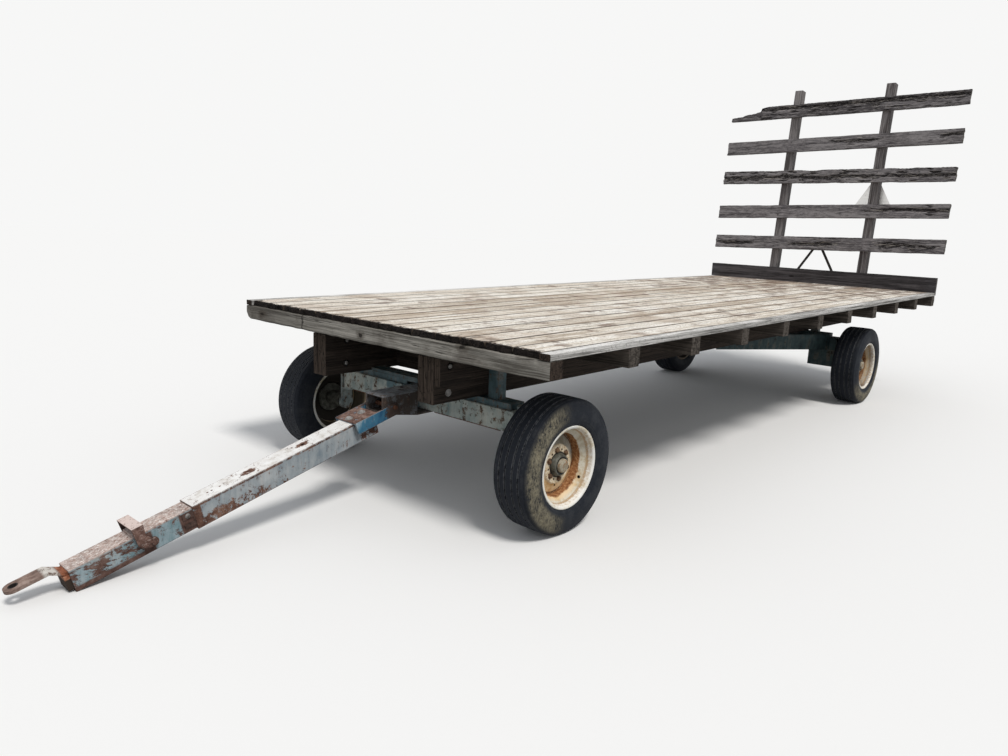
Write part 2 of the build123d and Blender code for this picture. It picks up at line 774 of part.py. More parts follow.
# Hitch strap: a plug in the inner tube's mouth and a flat bar that joggles up to a round eye
with BuildPart() as hitch_strap:
    with BuildSketch(tongue_side):
        with BuildLine():
            Polyline(
                (inner_end - strap_tang, strap_tang_rise),
                (inner_end + strap_ramp_start, strap_tang_rise),
                (inner_end + strap_ramp_end, strap_eye_rise),
                (strap_eye, strap_eye_rise),
                (strap_eye, strap_eye_rise + strap_thickness),
                (inner_end + strap_ramp_end, strap_eye_rise + strap_thickness),
                (inner_end + strap_ramp_start, strap_tang_rise + strap_thickness),
                (inner_end - strap_tang, strap_tang_rise + strap_thickness),
                close=True,
            )
        make_face()
    extrude(amount=strap_width / 2, both=True)
    with BuildSketch(tongue_top(strap_eye_rise)):
        with Locations((0, -strap_eye)):
            Circle(strap_width / 2)
    extrude(amount=strap_thickness)
    with BuildSketch(tongue_section(inner_end - plug_reach)):
        with Locations((0, strap_tang_rise - plug_height / 2)):
            Rectangle(plug_width, plug_height)
    extrude(amount=2 * plug_reach)
    with BuildSketch(tongue_top(strap_eye_rise)):
        with Locations((0, -strap_eye)):
            Circle(hitch_hole_radius)
    extrude(amount=strap_thickness, mode=Mode.SUBTRACT)
save(hitch_strap.part, "hitch_strap")

# Wheels: profiles are half sections, as (distance outboard of the tyre's middle, radius) points
lip_radius = rim_radius - rim_lip
well_radius = rim_radius - well_drop
bore_radius = rim_radius + seat_gap
tyre_half = tyre_width / 2
disc_face = disc_offset + disc_steel
bowl_u = disc_face - bowl_depth
wheels = {
    "front_left": (1, front_axle_y),
    "front_right": (-1, front_axle_y),
    "rear_left": (1, rear_axle_y),
    "rear_right": (-1, rear_axle_y),
}
for name, (side, axle_y) in wheels.items():
    wheel_middle = (side * track / 2, axle_y, wheel_z)
    wheel_plane = Plane(origin=wheel_middle, x_dir=(side, 0, 0), z_dir=(0, -side, 0))
    wheel_face = Plane(origin=wheel_middle, x_dir=(0, 1, 0), z_dir=(side, 0, 0))
    wheel_axis = Axis(wheel_middle, (side, 0, 0))
    with BuildPart() as tyre:
        with BuildSketch(wheel_plane):
            with BuildLine():
                Polyline(
                    (0, tyre_radius),
                    (tread_width / 2, tyre_radius),
                    (tyre_half, tyre_radius - shoulder_drop),
                    (tyre_half, bore_radius),
                    (0, bore_radius),
                )
                mirror(about=Plane.YZ)
            make_face()
        revolve(axis=wheel_axis)
    save(tyre.part, f"tyre_{name}")

    # Rim: a drop-centre barrel with a dished disc welded across it
    with BuildPart() as rim:
        with BuildSketch(wheel_plane):
            with BuildLine():
                Polyline(
                    (0, rim_radius),
                    (rim_half, rim_radius),
                    (rim_half, lip_radius),
                    (seat_end, lip_radius),
                    (well_start, well_radius),
                    (0, well_radius),
                )
                mirror(about=Plane.YZ)
            make_face()
            with BuildLine():
                Polyline(
                    (disc_face, hub_pilot_radius),
                    (disc_face, disc_plate_radius),
                    (bowl_u, well_radius),
                    (bowl_u - disc_steel, well_radius),
                    (disc_offset, disc_plate_radius - disc_steel / 2),
                    (disc_offset, hub_pilot_radius),
                    close=True,
                )
            make_face()
        revolve(axis=wheel_axis)
    save(rim.part, f"rim_{name}")

    # Hub: inboard barrel, bolt flange behind the disc, and nose and grease cap through its middle
    with BuildPart() as hub:
        with BuildSketch(wheel_plane):
            with BuildLine():
                Polyline(
                    (-hub_inboard, 0),
                    (-hub_inboard, hub_barrel_radius),
                    (disc_offset - hub_flange, hub_barrel_radius),
                    (disc_offset - hub_flange, hub_flange_radius),
                    (disc_offset, hub_flange_radius),
                    (disc_offset, hub_pilot_radius),
                    (hub_nose_reach, hub_nose_radius),
                    (hub_nose_reach, hub_cap_radius),
                    (hub_cap_reach, hub_cap_radius),
                    (hub_cap_reach, 0),
                    close=True,
                )
            make_face()
        revolve(axis=wheel_axis)
        with BuildSketch(wheel_face.offset(-hub_inboard)):
            Circle(spindle_radius + running_fit)
        extrude(amount=hub_inboard + spindle_end - track / 2 + spindle_end_gap, mode=Mode.SUBTRACT)
    save(hub.part, f"hub_{name}")
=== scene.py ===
import bmesh
import bpy
import json
import math
from mathutils import Matrix, Vector, noise


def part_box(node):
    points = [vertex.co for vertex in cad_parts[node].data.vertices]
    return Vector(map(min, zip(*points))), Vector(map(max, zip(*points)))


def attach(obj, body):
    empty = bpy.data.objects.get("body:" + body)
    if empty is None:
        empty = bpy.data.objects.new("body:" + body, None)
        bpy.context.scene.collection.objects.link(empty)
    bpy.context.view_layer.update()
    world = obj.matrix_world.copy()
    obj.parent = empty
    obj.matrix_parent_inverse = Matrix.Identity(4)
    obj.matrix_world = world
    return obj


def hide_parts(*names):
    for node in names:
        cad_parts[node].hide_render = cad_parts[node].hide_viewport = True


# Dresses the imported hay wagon: weathered timber, faded and rusting running gear, ribbed tyres.
# Lengths are in metres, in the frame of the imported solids: +X is the wagon's left, -Y is forward.
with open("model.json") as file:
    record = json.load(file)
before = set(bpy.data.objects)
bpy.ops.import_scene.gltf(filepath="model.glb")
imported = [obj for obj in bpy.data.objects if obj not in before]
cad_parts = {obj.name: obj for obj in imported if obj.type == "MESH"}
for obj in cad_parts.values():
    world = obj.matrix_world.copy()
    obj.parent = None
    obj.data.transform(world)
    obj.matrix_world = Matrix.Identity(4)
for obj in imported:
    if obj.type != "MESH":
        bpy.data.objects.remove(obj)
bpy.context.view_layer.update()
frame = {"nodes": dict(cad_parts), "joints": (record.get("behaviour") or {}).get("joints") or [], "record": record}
joints = {joint["name"]: joint for joint in frame["joints"]}
X = Vector((1, 0, 0))
Y = Vector((0, 1, 0))
Z = Vector((0, 0, 1))


def corners(node):
    low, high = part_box(node)
    return Vector(low), Vector(high)


# Places read from the solids
deck_low, deck_high = corners("deck_planks")
axle_low, axle_high = corners("front_axle")
front_axle_y = (axle_low.y + axle_high.y) / 2
rear_axle_y = joints["wheel_rear_left_spin"]["pos_m"][1]
wheel_x, _, wheel_z = joints["wheel_front_left_spin"]["pos_m"]
tyre_low, tyre_high = corners("tyre_front_left")
tyre_radius = (tyre_high.z - tyre_low.z) / 2
tyre_half = (tyre_high.x - tyre_low.x) / 2


# Shader building: finished materials stand here by their names
materials = {}


class Value:
    """A number that a node puts out: what is added to it or multiplied with it makes a node too."""

    def __init__(self, nodes, socket):
        self.nodes = nodes
        self.socket = socket

    def __add__(self, other):
        return self.nodes.math("ADD", self, other)

    def __sub__(self, other):
        return self.nodes.math("SUBTRACT", self, other)

    def __rsub__(self, other):
        return self.nodes.math("SUBTRACT", other, self)

    def __mul__(self, other):
        return self.nodes.math("MULTIPLY", self, other)

    def __abs__(self):
        return self.nodes.math("ABSOLUTE", self)


class Nodes:
    """A node tree under construction: each method adds nodes and returns their output."""

    def __init__(self, tree):
        self.tree = tree

    def add(self, kind, inputs=None, **settings):
        node = self.tree.nodes.new("ShaderNode" + kind)
        for key, value in settings.items():
            setattr(node, key, value)
        for key, value in (inputs or {}).items():
            self.feed(node.inputs[key], value)
        return node

    def feed(self, socket, value):
        if isinstance(value, Value):
            value = value.socket
        if isinstance(value, bpy.types.NodeSocket):
            self.tree.links.new(value, socket)
        elif value is not None:
            socket.default_value = value

    def math(self, operation, *values):
        return Value(self, self.add("Math", dict(enumerate(values)), operation=operation).outputs[0])

    def most(self, first, *others):
        for other in others:
            first = self.math("MAXIMUM", first, other)
        return first

    def length(self, first, second):
        return self.math("SQRT", first * first + second * second)

    def seen(self):
        """1 for what is looked at directly, in a mirror or through glass."""
        rays = self.add("LightPath").outputs
        kinds = ("Is Camera Ray", "Is Glossy Ray", "Is Transmission Ray")
        return self.most(*(Value(self, rays[kind]) for kind in kinds))


class Shader(Nodes):
    """A material under construction. colour is what is painted so far. place is the point's place, or
    what a layer of the mesh says it is."""

    def __init__(self, name, roughness=0.8, shine=0.3, layer=None):
        self.name = name
        self.material = bpy.data.materials.new(name)
        self.material.use_nodes = True
        super().__init__(self.material.node_tree)
        self.principled = self.tree.nodes["Principled BSDF"]
        self.principled.inputs["Roughness"].default_value = roughness
        self.principled.inputs["Specular IOR Level"].default_value = shine
        if layer:
            self.place = self.add("Attribute", attribute_name=layer).outputs["Vector"]
        else:
            self.place = self.add("TexCoord").outputs["Object"]

    def value(self, name):
        return Value(self, self.add("Attribute", attribute_name=name).outputs["Fac"])

    def xyz(self):
        return [Value(self, part) for part in self.add("SeparateXYZ", {0: self.place}).outputs]

    def vector_math(self, operation, first, second):
        return self.add("VectorMath", {0: first, 1: second}, operation=operation).outputs

    def reach(self, origin, axis):
        """How far a point lies from origin along axis."""
        offset = self.vector_math("SUBTRACT", self.place, origin)["Vector"]
        return Value(self, self.vector_math("DOT_PRODUCT", offset, axis)["Value"])

    def stretch(self, vector, scale):
        return self.add("Mapping", {"Vector": vector, "Scale": scale}).outputs["Vector"]

    def noise(self, scale, detail=4.0, roughness=0.55, distortion=0.0, vector=None):
        """scale is a number, or one number for each axis."""
        vector = vector or self.place
        if isinstance(scale, tuple):
            vector = self.stretch(vector, scale)
            scale = 1.0
        inputs = {"Vector": vector, "Scale": scale, "Detail": detail, "Roughness": roughness}
        inputs["Distortion"] = distortion
        return Value(self, self.add("TexNoise", inputs).outputs["Fac"])

    def knots(self, vector, share):
        """1 inside knots, which lie in a share of the cells."""
        cells = self.add("TexVoronoi", {"Vector": vector, "Scale": 1.0, "Randomness": 1.0}).outputs
        chance = self.add("SeparateXYZ", {0: cells["Color"]}).outputs[0]
        return self.span(chance, 1.0 - share, 1.001 - share) * self.span(cells["Distance"], 0.14, 0.08)

    def span(self, value, low, high, start=0.0, end=1.0):
        """start at low, end at high, and smooth between."""
        inputs = {"Value": value, "From Min": low, "From Max": high, "To Min": start, "To Max": end}
        node = self.add("MapRange", inputs, interpolation_type="SMOOTHSTEP")
        return Value(self, node.outputs["Result"])

    def band(self, value, low, high, soft):
        """1 between low and high, fading to 0 over soft outside them."""
        rising = self.span(value, low - soft, low + soft)
        return rising * self.span(value, high - soft, high + soft, 1.0, 0.0)

    def edges(self, radius):
        """1 on sharp edges, 0 on flat faces."""
        plain = self.add("NewGeometry").outputs["Normal"]
        same = self.vector_math("DOT_PRODUCT", self.rounded(radius), plain)["Value"]
        return self.span(same, 0.8, 0.995, 1.0, 0.0)

    def rounded(self, radius):
        return self.add("Bevel", {"Radius": radius}, samples=4).outputs["Normal"]

    def ramp(self, value, *stops):
        node = self.add("ValToRGB", {"Fac": value})
        elements = node.color_ramp.elements
        while len(elements) < len(stops):
            elements.new(1.0)
        for element, (position, colour) in zip(elements, stops):
            element.position = position
            element.color = (*colour, 1.0)
        return node.outputs["Color"]

    def mix(self, share, first, second):
        node = self.add("Mix", {0: share}, data_type="RGBA")
        for socket, colour in ((node.inputs[6], first), (node.inputs[7], second)):
            self.feed(socket, (*colour, 1.0) if isinstance(colour, tuple) else colour)
        return node.outputs[2]

    def cover(self, share, colour):
        """Paints a share of what is there over."""
        self.colour = self.mix(share, self.colour, colour)

    def finish(self, height=None, strength=1.0, distance=1.0, normal=None, roughness=None, metallic=None):
        """height, strength and distance give the bump, and normal is what it starts from."""
        if height:
            inputs = {"Height": height, "Strength": strength, "Distance": distance, "Normal": normal}
            self.feed(self.principled.inputs["Normal"], self.add("Bump", inputs).outputs["Normal"])
        self.feed(self.principled.inputs["Base Color"], self.colour)
        self.feed(self.principled.inputs["Roughness"], roughness)
        self.feed(self.principled.inputs["Metallic"], metallic)
        materials[self.name] = self.material


# Timber: streaks of fibre along the grain, stains, knots, checks, rot where a board has it, and long edges
# darkened by dirt and by painted shade between boards
def timber(name, shades, stain, stain_share=0.5, check=0.6, seam=0.3, knot_share=0.25, spread=0.08, rim=0.84,
           speck=0.0, rotten=False, extra=None):
    """shades are the colours of the dark, middle and light fibres, and a small spread sets them
    apart sharply. speck is the strength of small dark marks."""
    s = Shader(name, roughness=0.9, shine=0.2)
    black = tuple(0.18 * part for part in shades[0])
    tone = s.value("tone")
    lift = s.add("CombineXYZ", {2: tone}).outputs[0]
    along = s.vector_math("ADD", s.add("UVMap", uv_map="grain").outputs["UV"], lift)["Vector"]
    fine = s.noise((2.6, 150.0, 7.0), 6.0, 0.7, vector=along)
    broad = s.noise((0.8, 17.0, 7.0), 5.0, 0.65, 0.8, vector=along)
    blotch = s.noise(2.1, 6.0, 0.65)
    streak = fine * 0.5 + broad * 0.5 + (tone - 0.5) * 0.16
    s.colour = s.ramp(streak, (0.49 - spread, shades[0]), (0.49, shades[1]), (0.49 + spread, shades[2]))
    s.cover(s.span(blotch, 0.47, 0.62) * s.span(broad, 0.38, 0.58) * stain_share, stain)
    if extra:
        extra(s, broad)
    s.cover(s.knots(s.stretch(along, (3.2, 9.0, 7.0)), knot_share) * 0.75, black)
    lines = s.noise((0.8, 40.0, 7.0), 2.0, 0.5, 0.4, vector=along)
    checks = s.band(lines, 0.492, 0.508, 0.006) * s.span(broad, 0.4, 0.6)
    s.cover(checks * check, black)
    if speck:
        s.cover(s.span(s.noise(75.0, 6.0, 0.7), 0.56, 0.63) * speck, shades[0])
    # Each board's long edges darken: dirt in the joints, and painted shade between boards
    s.cover(s.span(s.value("edge"), rim, 1.0) * s.span(broad, 0.36, 0.56, 0.35, 1.0) * seam, black)
    height = streak * 0.8 - checks * 0.8
    if rotten:
        rot = s.value("rot")
        torn = s.noise((5.0, 60.0, 7.0), 5.0, 0.7, 1.5, vector=along)
        decay = s.span(rot + (torn - 0.5) * 3.0, 0.18, 0.4) * s.span(rot, 0.01, 0.12)
        s.cover(decay * 0.95, (0.008, 0.006, 0.006))
        s.cover(s.span(torn, 0.44, 0.38) * s.span(rot, 0.01, 0.15) * 0.8, (0.44, 0.4, 0.36))
        flecks = s.noise((16.0, 130.0, 7.0), 6.0, 0.75, vector=along)
        s.cover(s.span(flecks, 0.54, 0.6) * 0.75, (0.4, 0.37, 0.365))
        s.cover(s.span(flecks, 0.46, 0.4) * 0.75, (0.045, 0.04, 0.042))
        height = height - decay * 2.0
    s.finish(height, 0.8, 0.004)


# End grain: growth rings and splits. stretch makes the streaks run along an axis.
def end_grain(name, dark, light, stretch=(30.0, 30.0, 60.0)):
    s = Shader(name, roughness=0.95, shine=0.15)
    rings = s.noise(stretch, 5.0, 0.65, 1.2)
    splits = s.band(s.noise((34.0, 34.0, 9.0), 2.0), 0.49, 0.51, 0.01)
    s.colour = s.ramp(rings, (0.36, dark), (0.64, light))
    s.cover(splits * 0.8, tuple(0.2 * part for part in dark))
    s.finish(rings - splits, 0.9, 0.006)


# Rust: mottled brown with dark and orange patches
RUST = ((0.05, 0.022, 0.014), (0.135, 0.06, 0.036), (0.27, 0.135, 0.08))


def rust_colour(s, shades):
    mottle = s.noise(42.0, 8.0, 0.72)
    mixed = mottle * 0.6 + s.noise(8.0, 5.0, 0.6) * 0.4
    return s.ramp(mixed, (0.38, shades[0]), (0.5, shades[1]), (0.62, shades[2])), mottle


def rusty_steel(name, shades=RUST, extra=None):
    s = Shader(name, roughness=0.85)
    s.colour, mottle = rust_colour(s, shades)
    if extra:
        extra(s)
    s.finish(mottle, 0.5, 0.002, s.rounded(0.002))


# Faded paint over steel: rust shows along edges, in specks and in runs, and wherever extra says
def faded_paint(name, paint, chalk, shade, rust_level=0.6, edge_rust=0.8, extra=None, tint=None, shades=RUST,
                stain=0.35, runs=0.35, rust_tint=None):
    s = Shader(name, roughness=0.6)
    cloud = s.noise(6.5, 6.0, 0.65)
    streaks = s.noise((24.0, 24.0, 4.0), 6.0, 0.7)
    s.colour = s.ramp(cloud * 0.6 + streaks * 0.4, (0.38, shade), (0.5, paint), (0.62, chalk))
    if tint:
        tint(s)
    rust, mottle = rust_colour(s, shades)
    if rust_tint:
        rust = rust_tint(s, rust)
    specks = s.noise(24.0, 9.0, 0.78)
    s.cover(s.span(cloud, 0.45, 0.62) * s.span(streaks, 0.46, 0.6) * stain, (0.3, 0.2, 0.13))
    amount = s.span(specks * (1.0 - runs) + streaks * runs, rust_level - 0.05, rust_level + 0.02)
    amount = s.most(amount, s.edges(0.008) * s.span(specks, 0.38, 0.5) * edge_rust)
    if extra:
        amount = s.most(amount, extra(s, specks))
    s.cover(amount, rust)
    s.finish(mottle * 0.3 - amount * 0.5, 0.5, 0.002, s.rounded(0.004), amount * 0.3 + 0.55)


def deck_dirt(s, broad):
    """Leaf stains gather before the tail board, and the front ends are black."""
    y = s.xyz()[1]
    litter = s.noise(5.5, 7.0, 0.7) + s.span(y, deck_high.y - 2.6, deck_high.y - 0.1, 0.0, 0.13)
    s.cover(s.span(litter, 0.55, 0.64) * 0.7, (0.15, 0.09, 0.066))
    front = s.span(y, deck_low.y + 0.008, deck_low.y + 0.075, 0.3, 0.0) + s.noise(26.0, 6.0, 0.7)
    s.cover(s.span(front, 0.64, 0.7), (0.025, 0.02, 0.018))


# Knots on the header's face: x, height and size
header_knots = ((-0.069, 0.899, 0.016), (0.695, 0.94, 0.018), (-1.039, 0.907, 0.015))
header_crack_x = -0.61


def header_marks(s, broad):
    """The header has painted shade that darkens it to the right, and has knots and a crack."""
    x, y, z = s.xyz()
    # Painted shade: the header gets darker towards its right end
    s.cover(s.span(x, -0.1, -1.0) * 0.5, (0.06, 0.05, 0.042))
    stray = (s.noise(30.0, 4.0, 0.6) - 0.5) * 0.03
    for knot_x, knot_z, size in header_knots:
        away = s.length((x - knot_x) * 0.6, z - knot_z) + stray
        s.cover(s.span(away, size * 2.0, size, 0.0, 0.55), (0.085, 0.068, 0.052))
        s.cover(s.span(away, size * 0.8, size * 0.4, 0.0, 0.9), (0.012, 0.009, 0.007))
    crack = s.band(x - header_crack_x + stray * 2.0, -0.008, 0.008, 0.006) * s.span(broad, 0.42, 0.5)
    s.cover(crack * 0.85, (0.014, 0.011, 0.009))


timber("deck_wood", ((0.34, 0.26, 0.19), (0.8, 0.735, 0.635), (0.97, 0.94, 0.88)), (0.4, 0.28, 0.19),
       stain_share=0.55, check=1.0, seam=1.0, knot_share=0.08, rim=0.875, speck=1.0, extra=deck_dirt)
timber("edge_wood", ((0.13, 0.125, 0.12), (0.52, 0.51, 0.49), (0.9, 0.885, 0.86)), (0.14, 0.13, 0.12),
       check=0.9, seam=0.2, knot_share=0.05, spread=0.065, speck=0.6)
timber("frame_wood", ((0.11, 0.1, 0.085), (0.29, 0.275, 0.245), (0.52, 0.49, 0.44)), (0.09, 0.075, 0.06),
       stain_share=0.75, check=0.9, seam=0.4, knot_share=0.15, spread=0.07, speck=0.3, extra=header_marks)
# Painted shade: the joists are the frame timber made darker, and the stringers' dark timber is darker still,
# because they lie under the deck
timber("shaded_joist_wood", ((0.02, 0.017, 0.014), (0.066, 0.056, 0.048), (0.13, 0.11, 0.095)), (0.025, 0.02, 0.016),
       stain_share=0.6, check=0.8, seam=0.4)
timber("dark_wood", ((0.012, 0.009, 0.008), (0.032, 0.025, 0.021), (0.072, 0.056, 0.046)),
       (0.014, 0.01, 0.009), check=0.7)
timber("tail_wood", ((0.02, 0.018, 0.019), (0.062, 0.057, 0.06), (0.13, 0.12, 0.125)), (0.022, 0.02, 0.021),
       knot_share=0.6, spread=0.07)
timber("rack_wood", ((0.06, 0.055, 0.058), (0.168, 0.156, 0.163), (0.33, 0.31, 0.315)), (0.062, 0.054, 0.056),
       check=0.9, knot_share=0.15, spread=0.055, speck=0.4, rotten=True)
timber("post_wood", ((0.075, 0.066, 0.064), (0.19, 0.173, 0.172), (0.34, 0.315, 0.31)), (0.075, 0.064, 0.062),
       check=0.9, spread=0.06)
end_grain("deck_end", (0.006, 0.005, 0.005), (0.034, 0.027, 0.024))
end_grain("frame_end", (0.02, 0.014, 0.011), (0.065, 0.048, 0.038))
end_grain("joist_end", (0.04, 0.034, 0.029), (0.135, 0.117, 0.102))
end_grain("dark_end", (0.034, 0.025, 0.02), (0.105, 0.08, 0.063), (90.0, 30.0, 5.0))
end_grain("rack_end", (0.05, 0.045, 0.04), (0.17, 0.155, 0.14))
rusty_steel("rusty_steel")
rusty_steel("black_steel", ((0.012, 0.01, 0.01), (0.028, 0.023, 0.02), (0.055, 0.04, 0.032)))
rusty_steel("grey_bolt", ((0.1, 0.085, 0.075), (0.26, 0.25, 0.24), (0.46, 0.45, 0.44)))
rusty_steel("dark_rust", ((0.045, 0.025, 0.015), (0.14, 0.08, 0.045), (0.3, 0.2, 0.12)))


# Mesh building
def make_mesh(name, bm, painted, smooth=None):
    """painted names its materials. smooth is the angle in degrees above which an edge is sharp."""
    bmesh.ops.recalc_face_normals(bm, faces=bm.faces)
    mesh = bpy.data.meshes.new(name)
    bm.to_mesh(mesh)
    bm.free()
    for material in painted:
        mesh.materials.append(materials[material])
    if smooth:
        mesh.polygons.foreach_set("use_smooth", [True] * len(mesh.polygons))
        mesh.set_sharp_from_angle(angle=math.radians(smooth))
    return mesh


def link_object(name, data):
    obj = bpy.data.objects.new(name, data)
    bpy.context.scene.collection.objects.link(obj)
    return obj


def place_mesh(name, mesh, body, replaced):
    """Makes a mesh a piece that rides on a body. It stands for the replaced nodes, if any are given."""
    obj = link_object(name, mesh)
    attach(obj, body)
    if replaced is not None:
        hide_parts(*replaced)


def add_metal(name, bm, material, body, replaced=None, smooth=None):
    place_mesh(name, make_mesh(name, bm, (material,), smooth), body, replaced)


def wobble(*place):
    """Smooth noise from -1 to 1 at a place."""
    return noise.noise(Vector(place))


def quads(first, second):
    """The corners of the quads that join two closed rings."""
    return zip(first, first[1:] + first[:1], second[1:] + second[:1], second)


def add_skin(bm, rings):
    for first, second in zip(rings, rings[1:]):
        for places in quads(first, second):
            bm.faces.new(places)


def circle(count, start=0.0):
    """Directions around a full turn, as cosine and sine."""
    angles = [start + math.tau * index / count for index in range(count)]
    return [(math.cos(angle), math.sin(angle)) for angle in angles]


class Boards:
    """A group of boards in one mesh. Faces on the ends take the second material."""

    def __init__(self):
        self.bm = bmesh.new()
        self.uv = self.bm.loops.layers.uv.new("grain")
        layers = self.bm.verts.layers.float
        self.tone, self.edge, self.rot = (layers.new(name) for name in ("tone", "edge", "rot"))
        self.count = 0

    def board(self, start, along, across, length, width, thickness, limits=None, ragged=(0.0, 0.0),
              columns=4, step=0.08, chamfer=0.003, wear=0.0015, cup=0.0, decay=None):
        """One board: start is the middle of its first end, across is its width's direction.
        limits gives the lower and upper edge of the board at a distance along it, and decay how
        rotten its face is there, from 0 to 1."""
        self.count += 1
        seed = 7.31 * self.count
        tone = 0.5 + 0.5 * wobble(seed, 3.7, 1.3)
        out = along.cross(across)
        top = thickness / 2
        rim = top - chamfer
        rings = max(2, int(length / step))
        rows = []
        for ring in range(rings + 1):
            distance = ring / rings * length
            low, high = limits(distance) if limits else (-width / 2, width / 2)
            low += wear * abs(wobble(distance * 9, seed, 0)) + wear * 0.5
            high -= wear * abs(wobble(distance * 9, seed, 5)) + wear * 0.5
            face = []
            back = []
            for column in range(columns + 1):
                share = column / columns
                side = low + chamfer + (high - low - 2 * chamfer) * share
                edge = abs(2 * share - 1)
                rot = decay(distance, side) if decay else 0.0
                face.append((side, top - cup * (1 - edge ** 2) - 0.011 * rot, edge, rot))
                back.append((side, -top, edge, 0.0))
            right = [(high, rim, 1.0, 0.0), (high, -rim, 1.0, 0.0)]
            left = [(low, -rim, 1.0, 0.0), (low, rim, 1.0, 0.0)]
            row = []
            around = seed
            last = face[0][:2]
            for side, level, edge, rot in face + right + back[::-1] + left:
                bite = 0.0
                if ring in (0, rings):
                    end = ring // rings
                    depth = ragged[end] * (0.5 + 0.5 * wobble(side * 45, level * 30, seed + 3 * end))
                    bite = -depth if end else depth
                vert = self.bm.verts.new(start + along * (distance + bite) + across * side + out * level)
                vert[self.tone] = tone
                vert[self.edge] = edge
                vert[self.rot] = rot
                around += math.dist((side, level), last)
                last = (side, level)
                row.append((vert, distance + seed, around))
            rows.append(row)
        for first, second in zip(rows, rows[1:]):
            for places in quads(first, second):
                self.face(places, 0)
        for row in (rows[0], rows[-1]):
            upper = row[: columns + 2]
            lower = row[columns + 2 : 2 * columns + 4][::-1]
            for places in zip(upper, upper[1:], lower[1:], lower):
                self.face(places, 1)
            self.face((row[0], row[-1], row[-2], lower[0]), 1)

    def beam(self, low, high, **shape):
        """A board along X that fills a box, its width upright."""
        size = high - low
        start = low + (Y * size.y + Z * size.z) / 2
        self.board(start, X, Z, size.x, size.z, size.y, **shape)

    def face(self, places, material):
        face = self.bm.faces.new([vert for vert, u, v in places])
        face.material_index = material
        for loop, (vert, u, v) in zip(face.loops, places):
            loop[self.uv].uv = (u, v)

    def finish(self, name, side, end, replaced, slot):
        mesh = make_mesh(name, self.bm, (side, end), 35)
        place_mesh(name, mesh, "wagon", replaced)


def add_bolt(bm, place, direction, size, height, washer=0.0, sides=6, turn=0.0, dome=False):
    """A bolt head or nut on a face: size is its width over the flats, or its diameter where it is domed."""
    direction = Vector(direction).normalized()
    side = direction.orthogonal().normalized()
    other = direction.cross(side)

    def ring(radius, level, count, start=0.0):
        middle = Vector(place) + direction * level
        return [bm.verts.new(middle + (side * a + other * b) * radius) for a, b in circle(count, start)]

    base = 0.0
    if washer:
        base = 0.0025
        add_skin(bm, [ring(washer, 0.0, 20), ring(washer, base, 20), ring(size * 0.45, base, 20)])
    if dome:
        levels = ((1.0, 0.0), (0.96, 0.35), (0.78, 0.72), (0.42, 0.95))
        rings = [ring(size / 2 * share, base + height * up, 16) for share, up in levels]
    else:
        levels = ((1.0, 0.0), (1.0, 0.86), (0.88, 1.0))
        corner = size / 2 / math.cos(math.pi / sides)
        rings = [ring(corner * share, base + height * up, sides, turn) for share, up in levels]
    add_skin(bm, rings)
    bm.faces.new(rings[-1])


def add_plate(bm, middle, length_axis, width_axis, length, width, thickness, chamfer=0.001):
    """A flat plate with chamfered rims, lying on its middle: its face points along length x width."""
    out = length_axis.cross(width_axis)
    rings = []
    for inset, level in ((0.0, 0.0), (0.0, thickness - chamfer), (chamfer, thickness)):
        ring = []
        for a, b in ((-1, -1), (1, -1), (1, 1), (-1, 1)):
            offset = length_axis * a * (length / 2 - inset) + width_axis * b * (width / 2 - inset)
            ring.append(bm.verts.new(Vector(middle) + offset + out * level))
        rings.append(ring)
    add_skin(bm, rings)
    bm.faces.new(rings[0])
    bm.faces.new(rings[-1])


# Deck: planks with ragged front ends between two edge strips
plank_count = 14
strip_width = 0.065
plank_gap = 0.003
plank_inset = 0.002
plank_trim = 0.003
plank_drop = 0.0012
plank_length = deck_high.y - deck_low.y
plank_pitch = (deck_high.x - deck_low.x - 2 * strip_width) / plank_count
plank_depth = deck_high.z - deck_low.z
plank_middle = (deck_low.z + deck_high.z) / 2
plank_places = [deck_low.x + strip_width + (index + 0.5) * plank_pitch for index in range(plank_count)]
planks = Boards()
for index, x in enumerate(plank_places):
    drop = plank_drop * abs(wobble(index * 3.1, 0.4, 0.9))
    start = Vector((x, deck_low.y + plank_inset, plank_middle - drop))
    planks.board(start, Y, -X, plank_length - plank_trim, plank_pitch - plank_gap, plank_depth,
                 ragged=(0.03, 0.003), columns=8, cup=0.0012)
planks.finish("deck_boards", "deck_wood", "deck_end", ("deck_planks",), "deck_wood")
strips = Boards()
for side in (1, -1):
    start = Vector((side * (deck_high.x - strip_width / 2), deck_low.y, plank_middle))
    strips.board(start, Y, -X, plank_length, strip_width - 0.002, plank_depth, columns=2, wear=0.001)
strips.finish("edge_strips", "edge_wood", "frame_end", ("deck_planks",), "deck_wood")

# Nails in rows over the header and the joists
joist_low, joist_high = corners("joists")
header_low, header_high = corners("header")
joist_count = 10
joist_width = 0.092
nail_spread = 0.045
nail_size = 0.007
nail_height = 0.0016
nail_sink = 0.0025
joist_pitch = (joist_high.y - joist_low.y - joist_width) / (joist_count - 1)
joist_rows = [joist_low.y + joist_width / 2 + index * joist_pitch for index in range(joist_count)]
nails = bmesh.new()
for row, y in enumerate([header_low.y + nail_spread] + joist_rows):
    for index, plank_x in enumerate(plank_places):
        for offset in (-nail_spread, nail_spread):
            x = plank_x + offset + 0.008 * wobble(row, index, offset * 9)
            place = (x, y + 0.012 * wobble(index, row, 4), deck_high.z - nail_sink)
            add_bolt(nails, place, Z, nail_size, nail_height, sides=8)
add_metal("deck_nails", nails, "rusty_steel", "wagon")

